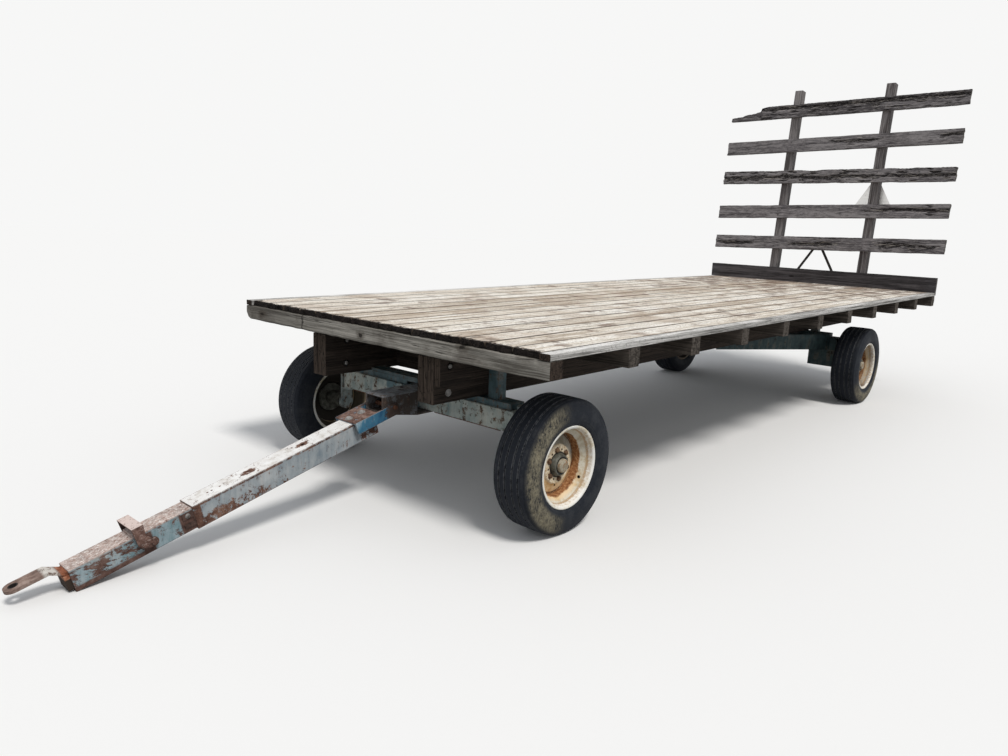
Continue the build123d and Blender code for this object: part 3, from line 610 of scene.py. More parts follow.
# Header with a cut corner, joists and stringers
header_half = (header_high.z - header_low.z) / 2
corner_cut = 0.038
timbers = Boards()
timbers.beam(header_low, header_high, step=0.02, wear=0.004, chamfer=0.004, ragged=(0.003, 0.003),
             limits=lambda s: (max(0.0, corner_cut - s * 1.5) - header_half, header_half))
timbers.finish("header_timber", "frame_wood", "frame_end", ("header",), "frame_wood")
timbers = Boards()
for y in joist_rows:
    low = Vector((joist_low.x, y - joist_width / 2, joist_low.z))
    high = Vector((joist_high.x, y + joist_width / 2, joist_high.z))
    timbers.beam(low, high, ragged=(0.006, 0.006), step=0.15, wear=0.002)
timbers.finish("joist_timbers", "shaded_joist_wood", "joist_end", ("joists",), "frame_wood")

ply = 0.038
ply_gap = 0.002
scab_height = 0.143
stringer_ends = 0.004
for name, side, plies in (("left", 1, 4), ("right", -1, 3)):
    low, high = corners(f"stringer_{name}")
    inner = low.x if side > 0 else -high.x
    timbers = Boards()
    for index in range(plies):
        x = side * (inner + index * (ply + ply_gap) + ply / 2)
        height = high.z - low.z if index < 3 else scab_height
        start = Vector((x, low.y + 0.002 * (index % 2), high.z - height / 2))
        length = high.y - low.y - stringer_ends
        timbers.board(start, Y, Z, length, height, ply, ragged=(0.004, 0.004), step=0.12, wear=0.002)
    timbers.finish(f"stringer_boards_{name}", "dark_wood", "dark_end", (f"stringer_{name}",), "dark_wood")

# A board across between the stringers, behind the front axle
sill_y = front_axle_y + 0.165
sill_gap = 0.001
sill_trim = 0.003
left_low, left_high = corners("stringer_left")
right_low, right_high = corners("stringer_right")
sill_right = right_high.x + sill_gap
sill_left = left_low.x - sill_gap
timbers = Boards()
timbers.beam(Vector((sill_right, sill_y - ply / 2, right_low.z + sill_trim)),
             Vector((sill_left, sill_y + ply / 2, right_high.z - sill_trim)), step=0.12, wear=0.002)
timbers.finish("cross_board", "dark_wood", "dark_end", None, "dark_wood")

# Tail board
tail_low, tail_high = corners("tail_board")
timbers = Boards()
timbers.beam(tail_low, tail_high, ragged=(0.004, 0.004), wear=0.003)
timbers.finish("tail_plank", "tail_wood", "rack_end", ("tail_board",), "char_wood")

# Rack: posts and boards lie in one leaning face
lean = math.radians(6.0)
rack_up = Vector((0, math.sin(lean), math.cos(lean)))
rack_front = Vector((0, -math.cos(lean), math.sin(lean)))
rack_foot = Vector((0, tail_high.y + 0.0003, deck_low.z))
timbers = Boards()
post_places = []
for name in ("left", "right"):
    low, high = corners(f"rack_post_{name}")
    x = (low.x + high.x) / 2
    post_places.append(x)
    post_size = high.x - low.x
    post_length = (high.z - low.z - post_size * math.sin(lean)) / math.cos(lean)
    post_drop = (deck_low.z - low.z) / math.cos(lean)
    start = rack_foot + X * x - rack_up * post_drop - rack_front * post_size / 2
    timbers.board(start, rack_up, X, post_length, post_size, post_size, ragged=(0.002, 0.003), wear=0.002)
timbers.finish("rack_posts", "post_wood", "rack_end", ("rack_post_left", "rack_post_right"), "rack_wood")

slat_height = 0.146
slat_half = slat_height / 2
slat_depth = 0.038
rack_half = 1.24
rack_first = 0.366
rack_pitch = 0.363
rack_bolt_levels = (-0.036, 0.03)
rack_bolt_size = 0.016
rack_bolt_height = 0.0135
rack_bolt_sink = 0.011
# How far each board's right and left ends lie above its level, and how much shorter they are
rack_ends = (
    ((0.0, 0.008), (0.045, 0.0)),
    ((-0.019, 0.0), (0.033, 0.015)),
    ((0.013, 0.0), (0.03, 0.013)),
    ((-0.015, 0.0), (0.036, 0.01)),
    ((0.003, 0.0), (0.042, 0.005)),
)
# The top board's right end is torn off: distance from that end, and the share of the height left
rack_torn = ((0.0, 0.3), (0.13, 0.36), (0.19, 0.5), (0.26, 0.52), (0.352, 0.66), (0.36, 0.9), (0.44, 1.0),
             (9.0, 1.0))
# How ragged each board's edges are, and where rot runs along it: its height as a share of the
# half height, and patches given by the distance from the right end and their half length
rack_ragged = (0.7, 0.5, 1.6, 0.4, 1.0)
rack_seams = (
    (-0.1, ((0.25, 0.3), (1.15, 0.3), (2.1, 0.35))),
    (0.1, ((2.15, 0.55),)),
    (-0.1, ((0.15, 0.4), (0.75, 0.5), (1.35, 0.45), (2.2, 0.6))),
    (0.2, ((1.45, 0.3), (2.4, 0.15))),
    (0.45, ((0.55, 0.45), (1.1, 0.5), (1.8, 0.55), (2.4, 0.3))),
)


def rack_limits(index, s):
    """The edges of a rack board at a distance along it."""
    dips = 0.007 * max(0.0, wobble(s * 5.1, index, 2.0)) + 0.003 * abs(wobble(s * 31, index, 5.0))
    bites = 0.012 * max(0.0, wobble(s * 4.3, index, 8.0)) + 0.004 * abs(wobble(s * 27, index, 8.0))
    low = rack_ragged[index] * dips - slat_half
    high = slat_half - rack_ragged[index] * bites
    if index == len(rack_ends) - 1:
        for (s0, h0), (s1, h1) in zip(rack_torn, rack_torn[1:]):
            if s0 <= s <= s1:
                share = h0 + (h1 - h0) * (s - s0) / (s1 - s0)
                return low, min(high, slat_height * share - slat_half + 0.006 * wobble(s * 40, 1, 1))
    return low, high


def rack_decay(index, s, side):
    """How rotten a rack board's face is, from 0 to 1."""
    height, patches = rack_seams[index]
    middle = slat_half * (height + 0.25 * wobble(s * 2.2, index, 4.0))
    spread = slat_half * (0.28 + 0.45 * max(0.0, wobble(s * 3.4, index, 6.0)))
    near = max(0.0, 1.0 - abs(side - middle) / spread)
    reach = sum(max(0.0, 1.0 - abs(s - place) / span) for place, span in patches)
    pits = max(0.0, 1.8 * wobble(s * 9, side * 60, index) - 0.35)
    return min(1.0, near * min(1.0, 1.6 * reach) + pits * min(1.0, reach + 0.25) * rack_ragged[index])


board_foot = rack_foot + rack_front * slat_depth / 2
timbers = Boards()
bm = bmesh.new()
for index, ends in enumerate(rack_ends):
    level = rack_first + index * rack_pitch + slat_half
    right, left = (board_foot + X * side * (rack_half - short) + rack_up * (level + lift)
                   for side, (lift, short) in zip((-1, 1), ends))
    span = left - right
    along = span.normalized()
    timbers.board(right, along, rack_up, span.length, slat_height, slat_depth, ragged=(0.014, 0.012),
                  columns=14, step=0.012, wear=0.002, limits=lambda s: rack_limits(index, s),
                  decay=lambda s, side: rack_decay(index, s, side))
    for x in post_places:
        middle = right + span * ((x - right.x) / span.x)
        for up in rack_bolt_levels:
            place = middle + rack_up * up + rack_front * (slat_depth / 2 - rack_bolt_sink) + X * up * 0.5
            add_bolt(bm, place, rack_front, rack_bolt_size, rack_bolt_height, dome=True)
timbers.finish("rack_slats", "rack_wood", "rack_end", ("rack_boards",), "rack_wood")
add_metal("rack_bolts", bm, "black_steel", "wagon", smooth=40)


# Wheels: profiles are (distance outboard of the tyre's middle, radius) points, turned about the axle
def turn_profile(bm, profile, segments, closed=True):
    turns = circle(segments)
    rings = [[bm.verts.new((u, radius * a, radius * b)) for a, b in turns] for u, radius in profile]
    add_skin(bm, rings + rings[:1] if closed else rings)


def mirrored(half):
    return [(-u, radius) for u, radius in reversed(half[1:])] + half


def wheel_mesh(name, bm, material, smooth=30):
    """Its layer local keeps each place as it is before the wheel is turned and moved."""
    local = bm.verts.layers.float_vector.new("local")
    for vert in bm.verts:
        vert[local] = vert.co
    return make_mesh(name, bm, (material,), smooth)


def axle_radius(s):
    x, y, z = s.xyz()
    return x, y, z, s.length(y, z)


tread_grooves = (0.022, 0.06)
nut_circle = 0.0762
first_nut = math.radians(39.0)


def tyre_material():
    """Blackened rubber with fine rings, dusty on one half of its outer sidewall."""
    s = Shader("tyre_rubber", 0.7, 0.16, "local")
    x, y, z, radius = axle_radius(s)
    out = abs(x)
    fine = s.noise(130.0, 5.0, 0.65)
    smear = s.noise(15.0, 7.0, 0.72)
    rays = s.noise((60.0, 120.0, 48.0), 6.0, 0.75)
    s.colour = s.ramp(fine, (0.3, (0.0085, 0.0105, 0.0155)), (0.7, (0.019, 0.023, 0.031)))
    s.cover(s.span(smear, 0.42, 0.62) * s.span(out, 0.094, 0.104) * 0.3, (0.06, 0.064, 0.07))
    side = s.span(y + (smear - 0.5) * 0.22, -0.01, -0.15) * s.band(radius, 0.246, 0.326, 0.016)
    patchy = s.span(x, 0.084, 0.098) * s.span(smear * 0.45 + rays * 0.55, 0.37, 0.6)
    dust = s.ramp(fine, (0.3, (0.19, 0.165, 0.11)), (0.7, (0.36, 0.325, 0.235)))
    s.cover(side * patchy * 0.9, dust)
    ring = s.span(radius, 0.33, 0.3355) * s.span(rays, 0.4, 0.58)
    for groove in tread_grooves:
        s.cover(s.band(out, groove - 0.0065, groove + 0.0065, 0.001) * ring * 0.75, (0.15, 0.155, 0.165))
    s.cover(s.band(out, 0.074, 0.088, 0.006) * s.span(smear, 0.45, 0.6) * 0.35, (0.075, 0.078, 0.082))
    s.finish(fine * 0.7 + smear, 0.3, 0.002)


def rim_material(name, rust_level=0.62, grime=0.0):
    """Chalky cream paint: rust in the well, at the ledge and round the nuts, and ochre low in the bowl and the
    slope, painted brighter there as sunlight, with painted shade in grey at the bowl's top, inside the barrel and
    behind the disc.
    grime is the share of its inside that is dark with dirt."""
    s = Shader(name, 0.65, 0.25, "local")
    x, y, z, radius = axle_radius(s)
    cloud = s.noise(13.0, 7.0, 0.7)
    fine = s.noise(70.0, 7.0, 0.75)
    stray = cloud - 0.5
    grit = fine - 0.5
    depth = x + stray * 0.028
    white = s.ramp(cloud, (0.38, (0.7, 0.61, 0.45)), (0.46, (0.9, 0.87, 0.78)), (0.58, (0.96, 0.95, 0.91)))
    slope = s.ramp(cloud, (0.38, (0.46, 0.36, 0.22)), (0.5, (0.68, 0.64, 0.53)), (0.62, (0.78, 0.77, 0.69)))
    rust = s.ramp(fine, (0.36, (0.13, 0.05, 0.02)), (0.5, (0.33, 0.15, 0.062)), (0.62, (0.52, 0.3, 0.15)))
    stain = s.ramp(fine, (0.38, (0.3, 0.17, 0.085)), (0.6, (0.58, 0.42, 0.25)))
    brown = s.ramp(fine, (0.36, (0.055, 0.03, 0.018)), (0.64, (0.21, 0.12, 0.07)))
    ochre = s.ramp(cloud, (0.38, (0.62, 0.38, 0.16)), (0.5, (0.84, 0.62, 0.35)), (0.62, (0.9, 0.76, 0.52)))
    grey = s.ramp(cloud, (0.38, (0.24, 0.22, 0.17)), (0.62, (0.48, 0.47, 0.41)))
    plate = s.ramp(fine, (0.38, (0.45, 0.31, 0.18)), (0.5, (0.74, 0.62, 0.44)), (0.62, (0.84, 0.76, 0.61)))
    s.colour = s.mix(s.span(abs(x), 0.066, 0.063), white, slope)
    # Painted sunlight: the low part of the slope is washed a bright ochre
    wash = s.span(depth, 0.062, 0.04) * s.span(z + stray * 0.12, -0.06, -0.15)
    s.cover(wash * 0.75, (0.88, 0.64, 0.36))
    ledge = s.band(depth, 0.06, 0.074, 0.004) * s.span(radius, 0.184, 0.1885)
    s.cover(ledge * s.span(fine, 0.36, 0.52, 0.3, 0.95), stain)
    s.cover(s.band(radius, 0.1905, 0.195, 0.0012) * s.span(fine, 0.46, 0.58) * 0.45, stain)
    s.cover(s.span(fine, rust_level, rust_level + 0.07) * 0.8, stain)
    s.cover(s.band(depth + grit * 0.02, -0.012, 0.037, 0.004) * s.span(radius, 0.1585, 0.1605), rust)
    # Ochre staining low in the bowl, painted brighter as sunlight; the top of the bowl is painted grey as shade
    bowl = s.mix(s.span(z + stray * 0.1, -0.03, 0.03), ochre, grey)
    s.cover(s.span(radius, 0.16, 0.158), bowl)
    s.cover(s.band(radius, 0.147, 0.158, 0.002) * s.span(fine, 0.42, 0.5), brown)
    s.cover(s.span(radius, 0.1045, 0.1015), plate)
    around = s.math("WRAP", s.math("ARCTAN2", z, y) - first_nut, math.pi / 6, -math.pi / 6)
    chord = s.math("COSINE", around) * (radius * (-2 * nut_circle))
    near_nut = s.math("SQRT", radius * radius + nut_circle ** 2 + chord) + grit * 0.022
    s.cover(s.span(near_nut, 0.02, 0.014) * s.span(radius, 0.101, 0.099), brown)
    if grime:
        soot = s.ramp(fine, (0.36, (0.04, 0.028, 0.018)), (0.64, (0.2, 0.125, 0.07)))
        s.cover(s.span(x, 0.094, 0.08) * s.span(z + stray, 0.16, -0.16, 1.0, 0.45) * grime, soot)
    # Painted shade: the barrel's inboard side goes nearly black
    s.cover(s.span(x, -0.016, -0.022) * s.span(radius, 0.199, 0.19, 0.0, 0.92), (0.04, 0.033, 0.026))
    # Painted shade: the barrel behind the disc goes nearly black
    flat = s.math("MINIMUM", 0.1165 - radius, 0.0225)
    behind_disc = x - s.most(0.0527 - radius * 0.4, flat)
    s.cover(s.span(behind_disc, 0.001, -0.001) * s.span(radius, 0.16, 0.156), (0.03, 0.025, 0.02))
    s.finish(fine, 0.3, 0.001)


def hub_material():
    """Dull cast iron; the cap is paler, in a groove darkened with painted shade."""
    s = Shader("hub_steel", roughness=0.6, layer="local")
    x, y, z, radius = axle_radius(s)
    cloud = s.noise(32.0, 7.0, 0.7)
    dull = ((0.36, (0.04, 0.038, 0.03)), (0.52, (0.115, 0.115, 0.095)), (0.66, (0.2, 0.2, 0.17)))
    s.colour = s.ramp(cloud, *dull)
    # Painted shade in the groove round the cap
    s.cover(s.band(radius, 0.0345, 0.045, 0.0012) * s.span(x, 0.04, 0.044), (0.01, 0.009, 0.008))
    cap = s.span(radius, 0.0362, 0.0352) * s.span(x, 0.049, 0.052)
    s.cover(cap, s.ramp(cloud, (0.38, (0.24, 0.2, 0.14)), (0.62, (0.5, 0.45, 0.35))))
    s.cover(s.span(s.noise(48.0), 0.56, 0.63) * cap * 0.8, (0.26, 0.13, 0.05))
    s.finish(cloud, 0.3, 0.001)


# Painted shade: flat dark discs stand for the holes in the disc
def hole_shade_material():
    s = Shader("painted_hole_shade", roughness=1.0, shine=0.0)
    s.colour = s.ramp(s.noise(90.0, 3.0), (0.3, (0.003, 0.002, 0.002)), (0.7, (0.014, 0.009, 0.006)))
    s.finish()


tyre_material()
rim_material("rim_paint")
rim_material("rusty_rim", 0.5, grime=0.92)
hub_material()
hole_shade_material()


def tyre_profile():
    """Half of the tyre's outer profile, from the tread's middle to the bead."""
    groove_depth = 0.008
    crown_edge = 0.086
    crown_drop = 0.006
    round_edge = crown_edge + 0.004
    shoulder = (0.1045, 0.3195)
    bead = (0.1035, 0.2155)
    points = [(0.0, tyre_radius)]
    for groove in tread_grooves:
        lip = tyre_radius - 0.015 * groove
        floor = tyre_radius - groove_depth
        steps = ((-0.0045, lip), (-0.003, floor), (0.003, floor), (0.0045, lip))
        points += [(groove + aside, radius) for aside, radius in steps]
    points += [(crown_edge, tyre_radius - 0.0022), (crown_edge + 0.002, tyre_radius - crown_drop)]
    for index in range(1, 5):
        turn = math.pi / 2 * index / 5
        u = round_edge + (shoulder[0] - round_edge) * math.sin(turn)
        points.append((u, shoulder[1] + (tyre_radius - crown_drop - shoulder[1]) * math.cos(turn)))
    steps = 26
    for index in range(steps + 1):
        share = index / steps
        bulge = math.sin(math.pi * share ** 1.15) ** 0.8
        ridge = 0.0011 if index in (3, 20, 23) else 0.0
        reach = shoulder[0] + (bead[0] - shoulder[0]) * share + 0.0118 * bulge + ridge
        points.append((min(reach, tyre_half - 0.0002), shoulder[1] + (bead[1] - shoulder[1]) * share))
    return points + [(0.0985, 0.213), (0.09, 0.2125)]


bm = bmesh.new()
turn_profile(bm, mirrored(tyre_profile()), 144)
tyre_mesh = wheel_mesh("tyre_tread", bm, "tyre_rubber")

# Rim barrel: rolled lip, bead seat, drop centre; then the dished disc
barrel_half = [
    (0.0, 0.1622), (0.035, 0.1622), (0.0385, 0.1637), (0.0625, 0.188), (0.0665, 0.1903), (0.09, 0.193),
    (0.0955, 0.1945), (0.0995, 0.1985), (0.1015, 0.205), (0.102, 0.2085), (0.1008, 0.211), (0.0985, 0.212),
    (0.0968, 0.2105), (0.0962, 0.206), (0.0955, 0.2), (0.09, 0.1985),
]
disc = [
    (-0.014, 0.1622), (-0.0085, 0.1598), (-0.0058, 0.155), (-0.003, 0.149), (0.0125, 0.1075),
    (0.0155, 0.1035), (0.0225, 0.1), (0.026, 0.095), (0.026, 0.06), (0.0225, 0.059), (0.019, 0.06),
    (0.019, 0.093), (0.006, 0.106), (-0.012, 0.153), (-0.02, 0.1622),
]
bm = bmesh.new()
turn_profile(bm, mirrored(barrel_half), 96)
turn_profile(bm, disc, 96)
rim_mesh = wheel_mesh("rim_sheet", bm, "rim_paint", 32)

hub_outline = [
    (-0.118, 0.0205), (-0.118, 0.043), (-0.116, 0.045), (0.004, 0.046), (0.009, 0.06), (0.009, 0.09),
    (0.011, 0.092), (0.017, 0.092), (0.019, 0.09), (0.019, 0.0585), (0.03, 0.058), (0.046, 0.0545),
    (0.051, 0.0505), (0.052, 0.045), (0.0515, 0.0405), (0.0455, 0.04), (0.0455, 0.0358), (0.05, 0.0352),
    (0.063, 0.0345), (0.0675, 0.0315), (0.0695, 0.025), (0.07, 0.016), (0.0692, 0.008), (0.069, 0.0005),
]
bm = bmesh.new()
turn_profile(bm, hub_outline, 72, closed=False)
hub_mesh = wheel_mesh("hub_casting", bm, "hub_steel", 40)

# Lug nuts with their studs, and between them flat discs painted dark as the shade in holes, on the disc's bolt
# circle
disc_face = 0.026
nut_size = 0.0205
nut_height = 0.01
stud_size = 0.0115
stud_height = 0.0035
hole_size = 0.01
hole_height = 0.0004
bm = bmesh.new()
for index, (a, b) in enumerate(circle(6, first_nut)):
    add_bolt(bm, (disc_face, nut_circle * a, nut_circle * b), X, nut_size, nut_height, turn=0.4 * index)
    add_bolt(bm, (disc_face + 0.009, nut_circle * a, nut_circle * b), X, stud_size, stud_height, sides=12)
nut_mesh = wheel_mesh("lug_nuts", bm, "dark_rust")
bm = bmesh.new()
for a, b in circle(6, first_nut + math.pi / 6):
    add_bolt(bm, (disc_face - 0.0001, nut_circle * a, nut_circle * b), X, hole_size, hole_height, sides=16)
# One more hole low in the disc's slope
add_bolt(bm, (0.0125, 0.0, -0.112), (0.93, 0.0, -0.36), size=0.0095, height=0.0008, sides=16)
# The valve's hole, in the slope of the drop centre
valve_a, valve_b = circle(1, math.radians(-32.0))[0]
valve_out = 0.05
valve_radius = 0.1755
slope_out = Vector((0.71, -0.704 * valve_a, -0.704 * valve_b))
valve_place = Vector((valve_out, valve_radius * valve_a, valve_radius * valve_b)) + slope_out * 0.0003
add_bolt(bm, valve_place, slope_out, size=0.016, height=0.0008, sides=20)
hole_mesh = wheel_mesh("disc_holes", bm, "painted_hole_shade")

# Each wheel's side, place along the wagon, turn about its axle, and rim
wheels = {
    "front_left": (1, front_axle_y, 0.0, "rim_paint"),
    "front_right": (-1, front_axle_y, 1.15, "rim_paint"),
    "rear_left": (1, rear_axle_y, 1.9, "rusty_rim"),
    "rear_right": (-1, rear_axle_y, 2.4, "rusty_rim"),
}
# Each piece's mesh, the node that it stands for, and its slot
wheel_pieces = {
    "tyre_tread": (tyre_mesh, "tyre", "tyre"),
    "rim_sheet": (rim_mesh, "rim", "rim_paint"),
    "hub_casting": (hub_mesh, "hub", "hub_steel"),
    "lug_nuts": (nut_mesh, None, "rust_steel"),
    "disc_holes": (hole_mesh, None, "rust_steel"),
}
for wheel, (side, y, turn, rim) in wheels.items():
    for piece, (mesh, node, slot) in wheel_pieces.items():
        mesh = mesh.copy()
        if node == "rim":
            mesh.materials[0] = materials[rim]
        mesh.transform(Matrix.Rotation(turn, 4, "X"))
        if side < 0:
            mesh.transform(Matrix.Scale(-1, 4, X))
            mesh.flip_normals()
        mesh.transform(Matrix.Translation((side * wheel_x, y, wheel_z)))
        replaced = (f"{node}_{wheel}",) if node else ()
        place_mesh(f"{piece}_{wheel}", mesh, f"wheel_{wheel}", replaced)


# Running gear: pale blue paint, teal where it has kept its colour
def gear_tint(s):
    """Near the king bolt the axle has kept a deeper teal."""
    patch = s.band(s.xyz()[0], -0.33, 0.02, 0.06) + (s.noise(9.0, 6.0, 0.7) - 0.5) * 2.4
    s.cover(s.span(patch, 0.75, 1.0) * 0.85, (0.045, 0.125, 0.16))


def gear_rust(s, specks):
    """Rust creeps up from the axle's lower edge, and stains its face in clouds."""
    up = s.reach(Z * axle_low.z, Z)
    low = s.span(s.span(up, 0.05, 0.0, 0.0, 0.16) + specks, 0.6, 0.66)
    clouds = s.span(s.noise(11.0, 8.0, 0.75), 0.56, 0.66) * s.span(specks, 0.44, 0.54)
    spot = s.band(abs(s.xyz()[0]), 0.6, 0.68, 0.03) + specks
    return s.most(low, s.span(spot * 0.5, 0.72, 0.78), clouds * 0.9)


def head_tint(s):
    """The head is darker brown below its top plate, in clouds."""
    up = s.xyz()[2] - head_top
    cloud = s.noise(14.0, 7.0, 0.75)
    s.cover(s.span(up, -0.004, -0.012) * s.span(cloud, 0.58, 0.5, 0.35, 0.95), (0.06, 0.045, 0.036))


GREY_RUST = ((0.04, 0.028, 0.02), (0.115, 0.075, 0.05), (0.24, 0.165, 0.115))
head_top = corners("steering_head")[1].z
faded_paint("gear_paint", (0.44, 0.49, 0.46), (0.62, 0.65, 0.59), (0.2, 0.27, 0.27), 0.565, extra=gear_rust,
            tint=gear_tint, shades=GREY_RUST, runs=0.2)
faded_paint("knuckle_paint", (0.38, 0.43, 0.42), (0.56, 0.59, 0.55), (0.15, 0.2, 0.21), 0.555,
            shades=GREY_RUST)
# Teal paint on the bolsters, darkened further as painted shade under the deck
faded_paint("shaded_bolster_paint", (0.08, 0.135, 0.152), (0.16, 0.22, 0.24), (0.03, 0.058, 0.07), 0.57,
            shades=GREY_RUST)
faded_paint("head_paint", (0.28, 0.3, 0.325), (0.44, 0.47, 0.49), (0.12, 0.13, 0.14), 0.555, tint=head_tint,
            shades=((0.03, 0.02, 0.016), (0.085, 0.06, 0.048), (0.17, 0.12, 0.095)))
# Painted shade: the rear axle, bolsters, reach pole, hounds and spindles take a near-black blue-green for the
# shade under the wagon
faded_paint("shaded_gear_paint", (0.05, 0.085, 0.092), (0.1, 0.15, 0.155), (0.02, 0.034, 0.04),
            shades=((0.015, 0.012, 0.01), (0.04, 0.028, 0.02), (0.08, 0.055, 0.04)))

# Tongue: distances along it and above its axis place the paint's colours and the rust
pivot_rise = 0.048
along = Vector(joints["tongue_extend"]["axis"]).normalized()
rise = Vector((0, along.z, -along.y))
root = Vector(joints["tongue_pitch"]["pos_m"]) - rise * pivot_rise


def on_tongue(x, distance, height):
    """A place on the tongue, by its distance along it and its height above its axis."""
    return root + X * x + along * distance + rise * height


def tongue_place(s):
    """The distance along the tongue, the height above its axis, and the distance from its middle."""
    return s.reach(root, along), s.reach(root, rise), abs(s.xyz()[0])


# Along the tongue: bolt holes through its top, and small dents
tongue_holes = (0.533, 0.841)
tongue_marks = (0.988, 1.029, 1.05)


def tongue_tint(s):
    """The tongue's top is bleached white."""
    cloud = s.noise(18.0, 6.0, 0.7)
    white = s.ramp(cloud, (0.36, (0.7, 0.67, 0.63)), (0.46, (0.86, 0.85, 0.83)), (0.6, (0.94, 0.94, 0.93)))
    s.cover(s.span(s.reach(root, rise), 0.05, 0.056), white)


def tongue_rust(s, specks):
    """Rust gathers on the collar, low on the front third, in runs below the ridge and at the heel."""
    reach, up, x = tongue_place(s)
    runs = s.noise((110.0, 110.0, 14.0), 5.0, 0.65)
    mixed = specks * 0.6 + s.noise(62.0, 8.0, 0.75) * 0.4
    collar = s.span(reach + s.span(up, 0.056, 0.05, 0.0, 0.035), 1.152, 1.156) * s.span(specks, 0.38, 0.46)
    low = s.span(reach, 0.55, 1.02) * s.span(up, 0.03, -0.03) * 0.105 + mixed
    ridge = s.band(up, 0.044, 0.0545, 0.003) * s.span(mixed, 0.43, 0.51)
    drips = s.span(runs, 0.56, 0.63) * s.span(specks, 0.5, 0.58) * 0.85
    heel = s.span(s.span(reach, 0.3, 0.12, 0.0, 0.14) + mixed, 0.57, 0.62)
    pits = s.span(mixed, 0.565, 0.6) * s.span(up, 0.052, 0.046)
    amount = s.most(collar, s.span(low, 0.565, 0.6), ridge, heel, pits, drips)
    for hole in tongue_holes:
        away = s.length(x, (reach - hole) * 0.55) + (mixed - 0.5) * -0.1
        amount = s.most(amount, s.span(away, 0.024, 0.016))
    for mark in tongue_marks:
        dent = s.span(s.length(x, reach - mark), 0.006, 0.0045) * s.span(up, 0.05, 0.056)
        amount = s.most(amount, dent)
    return amount


def inner_tint(s):
    """What is left of the top's paint is pale and dusty."""
    s.cover(s.span(s.reach(root, rise), 0.044, 0.05) * 0.9, (0.86, 0.79, 0.74))


def inner_patches(s, specks):
    """Most of the inner tube's paint is gone: a panel of it is left behind the bail."""
    reach, up, x = tongue_place(s)
    grain = s.noise((40.0, 15.0, 40.0), 7.0, 0.75)
    flakes = s.noise((95.0, 60.0, 95.0), 7.0, 0.8)
    panel = s.band(reach, 1.222, 1.345, 0.005) * s.span(up, 0.048, 0.04) * s.span(specks, 0.6, 0.53)
    front = s.span(reach, 1.36, 1.4) * s.band(up, -0.03, 0.046, 0.004) * s.span(grain, 0.48, 0.53)
    top = s.span(flakes, 0.52, 0.57) * s.span(up, 0.044, 0.048)
    ridge = s.band(up, 0.041, 0.0505, 0.001) * s.span(flakes, 0.4, 0.48)
    return 1.0 - s.most(panel, front, top, ridge * 0.8)


def dark_below(s, rust):
    """The rust is pink with dust on top, and darker down the sides."""
    return s.mix(s.span(s.reach(root, rise), 0.048, 0.04, 0.0, 0.62), rust, (0.045, 0.026, 0.022))


def yoke_tint(s):
    """The yoke's edges are worn pale."""
    s.cover(s.edges(0.006) * 0.85, (0.42, 0.46, 0.46))


def yoke_rust(s, specks):
    """The yoke's web is bare, as are its sides' rear ends."""
    reach, up, x = tongue_place(s)
    web = s.span(up, 0.055, 0.064) * s.span(x, 0.0868, 0.085) * s.span(specks, 0.34, 0.42)
    return s.most(web, s.span(s.span(reach, 0.1, 0.0, 0.0, 0.3) + specks, 0.6, 0.66))


def dark_tail(s, rust):
    """Rust behind the pivot is dark."""
    return s.mix(s.span(s.reach(root, along), 0.115, 0.075, 0.0, 0.75), rust, (0.042, 0.034, 0.03))


TONGUE_RUST = ((0.045, 0.022, 0.017), (0.135, 0.068, 0.048), (0.29, 0.175, 0.13))
PINK_RUST = ((0.105, 0.05, 0.038), (0.285, 0.16, 0.126), (0.58, 0.41, 0.35))
YOKE_RUST = ((0.06, 0.03, 0.022), (0.17, 0.1, 0.08), (0.34, 0.24, 0.2))
faded_paint("tongue_paint", (0.37, 0.41, 0.435), (0.53, 0.56, 0.575), (0.22, 0.27, 0.31), 0.63, 1.0,
            extra=tongue_rust, tint=tongue_tint, shades=TONGUE_RUST, stain=0.12)
faded_paint("inner_paint", (0.33, 0.42, 0.46), (0.47, 0.54, 0.56), (0.17, 0.27, 0.3), extra=inner_patches,
            tint=inner_tint, shades=PINK_RUST, rust_tint=dark_below)
faded_paint("yoke_paint", (0.065, 0.205, 0.32), (0.48, 0.6, 0.65), (0.022, 0.1, 0.2), 0.61, 0.25,
            extra=yoke_rust, tint=yoke_tint, shades=YOKE_RUST, rust_tint=dark_tail)


def sheet_aluminium():
    """The plate's bare back: bright, with faint rolling lines and a little dirt."""
    s = Shader("sheet_aluminium", roughness=0.42)
    rolled = s.noise((6.0, 6.0, 160.0), 5.0, 0.6)
    s.colour = s.ramp(rolled, (0.35, (0.74, 0.73, 0.71)), (0.65, (0.88, 0.87, 0.85)))
    s.cover(s.span(s.noise(18.0, 7.0, 0.7), 0.56, 0.7, 0.0, 0.5), (0.4, 0.37, 0.33))
    s.finish(rolled, 0.1, 0.0005, metallic=0.88)


def bail_marks(s):
    """The bail's top is scuffed pale, and painted shade darkens it inside."""
    up = s.reach(root, rise)
    scuff = s.noise((120.0, 60.0, 120.0), 6.0, 0.75)
    top = s.span(up, bail_top - 0.0035, bail_top - 0.001) * s.span(scuff, 0.33, 0.48)
    s.cover(top * 0.9, (0.8, 0.67, 0.62))
    s.cover(s.span(scuff, 0.56, 0.61) * 0.55, (0.55, 0.45, 0.41))
    # Painted shade inside the hoop, below its bridge
    below = s.span(up, bail_top - 0.004, bail_top - 0.0055)
    inside = s.span(abs(s.xyz()[0]), bail_side - 0.0045, bail_side - 0.0055)
    s.cover(inside * below * 0.8, (0.03, 0.02, 0.017))


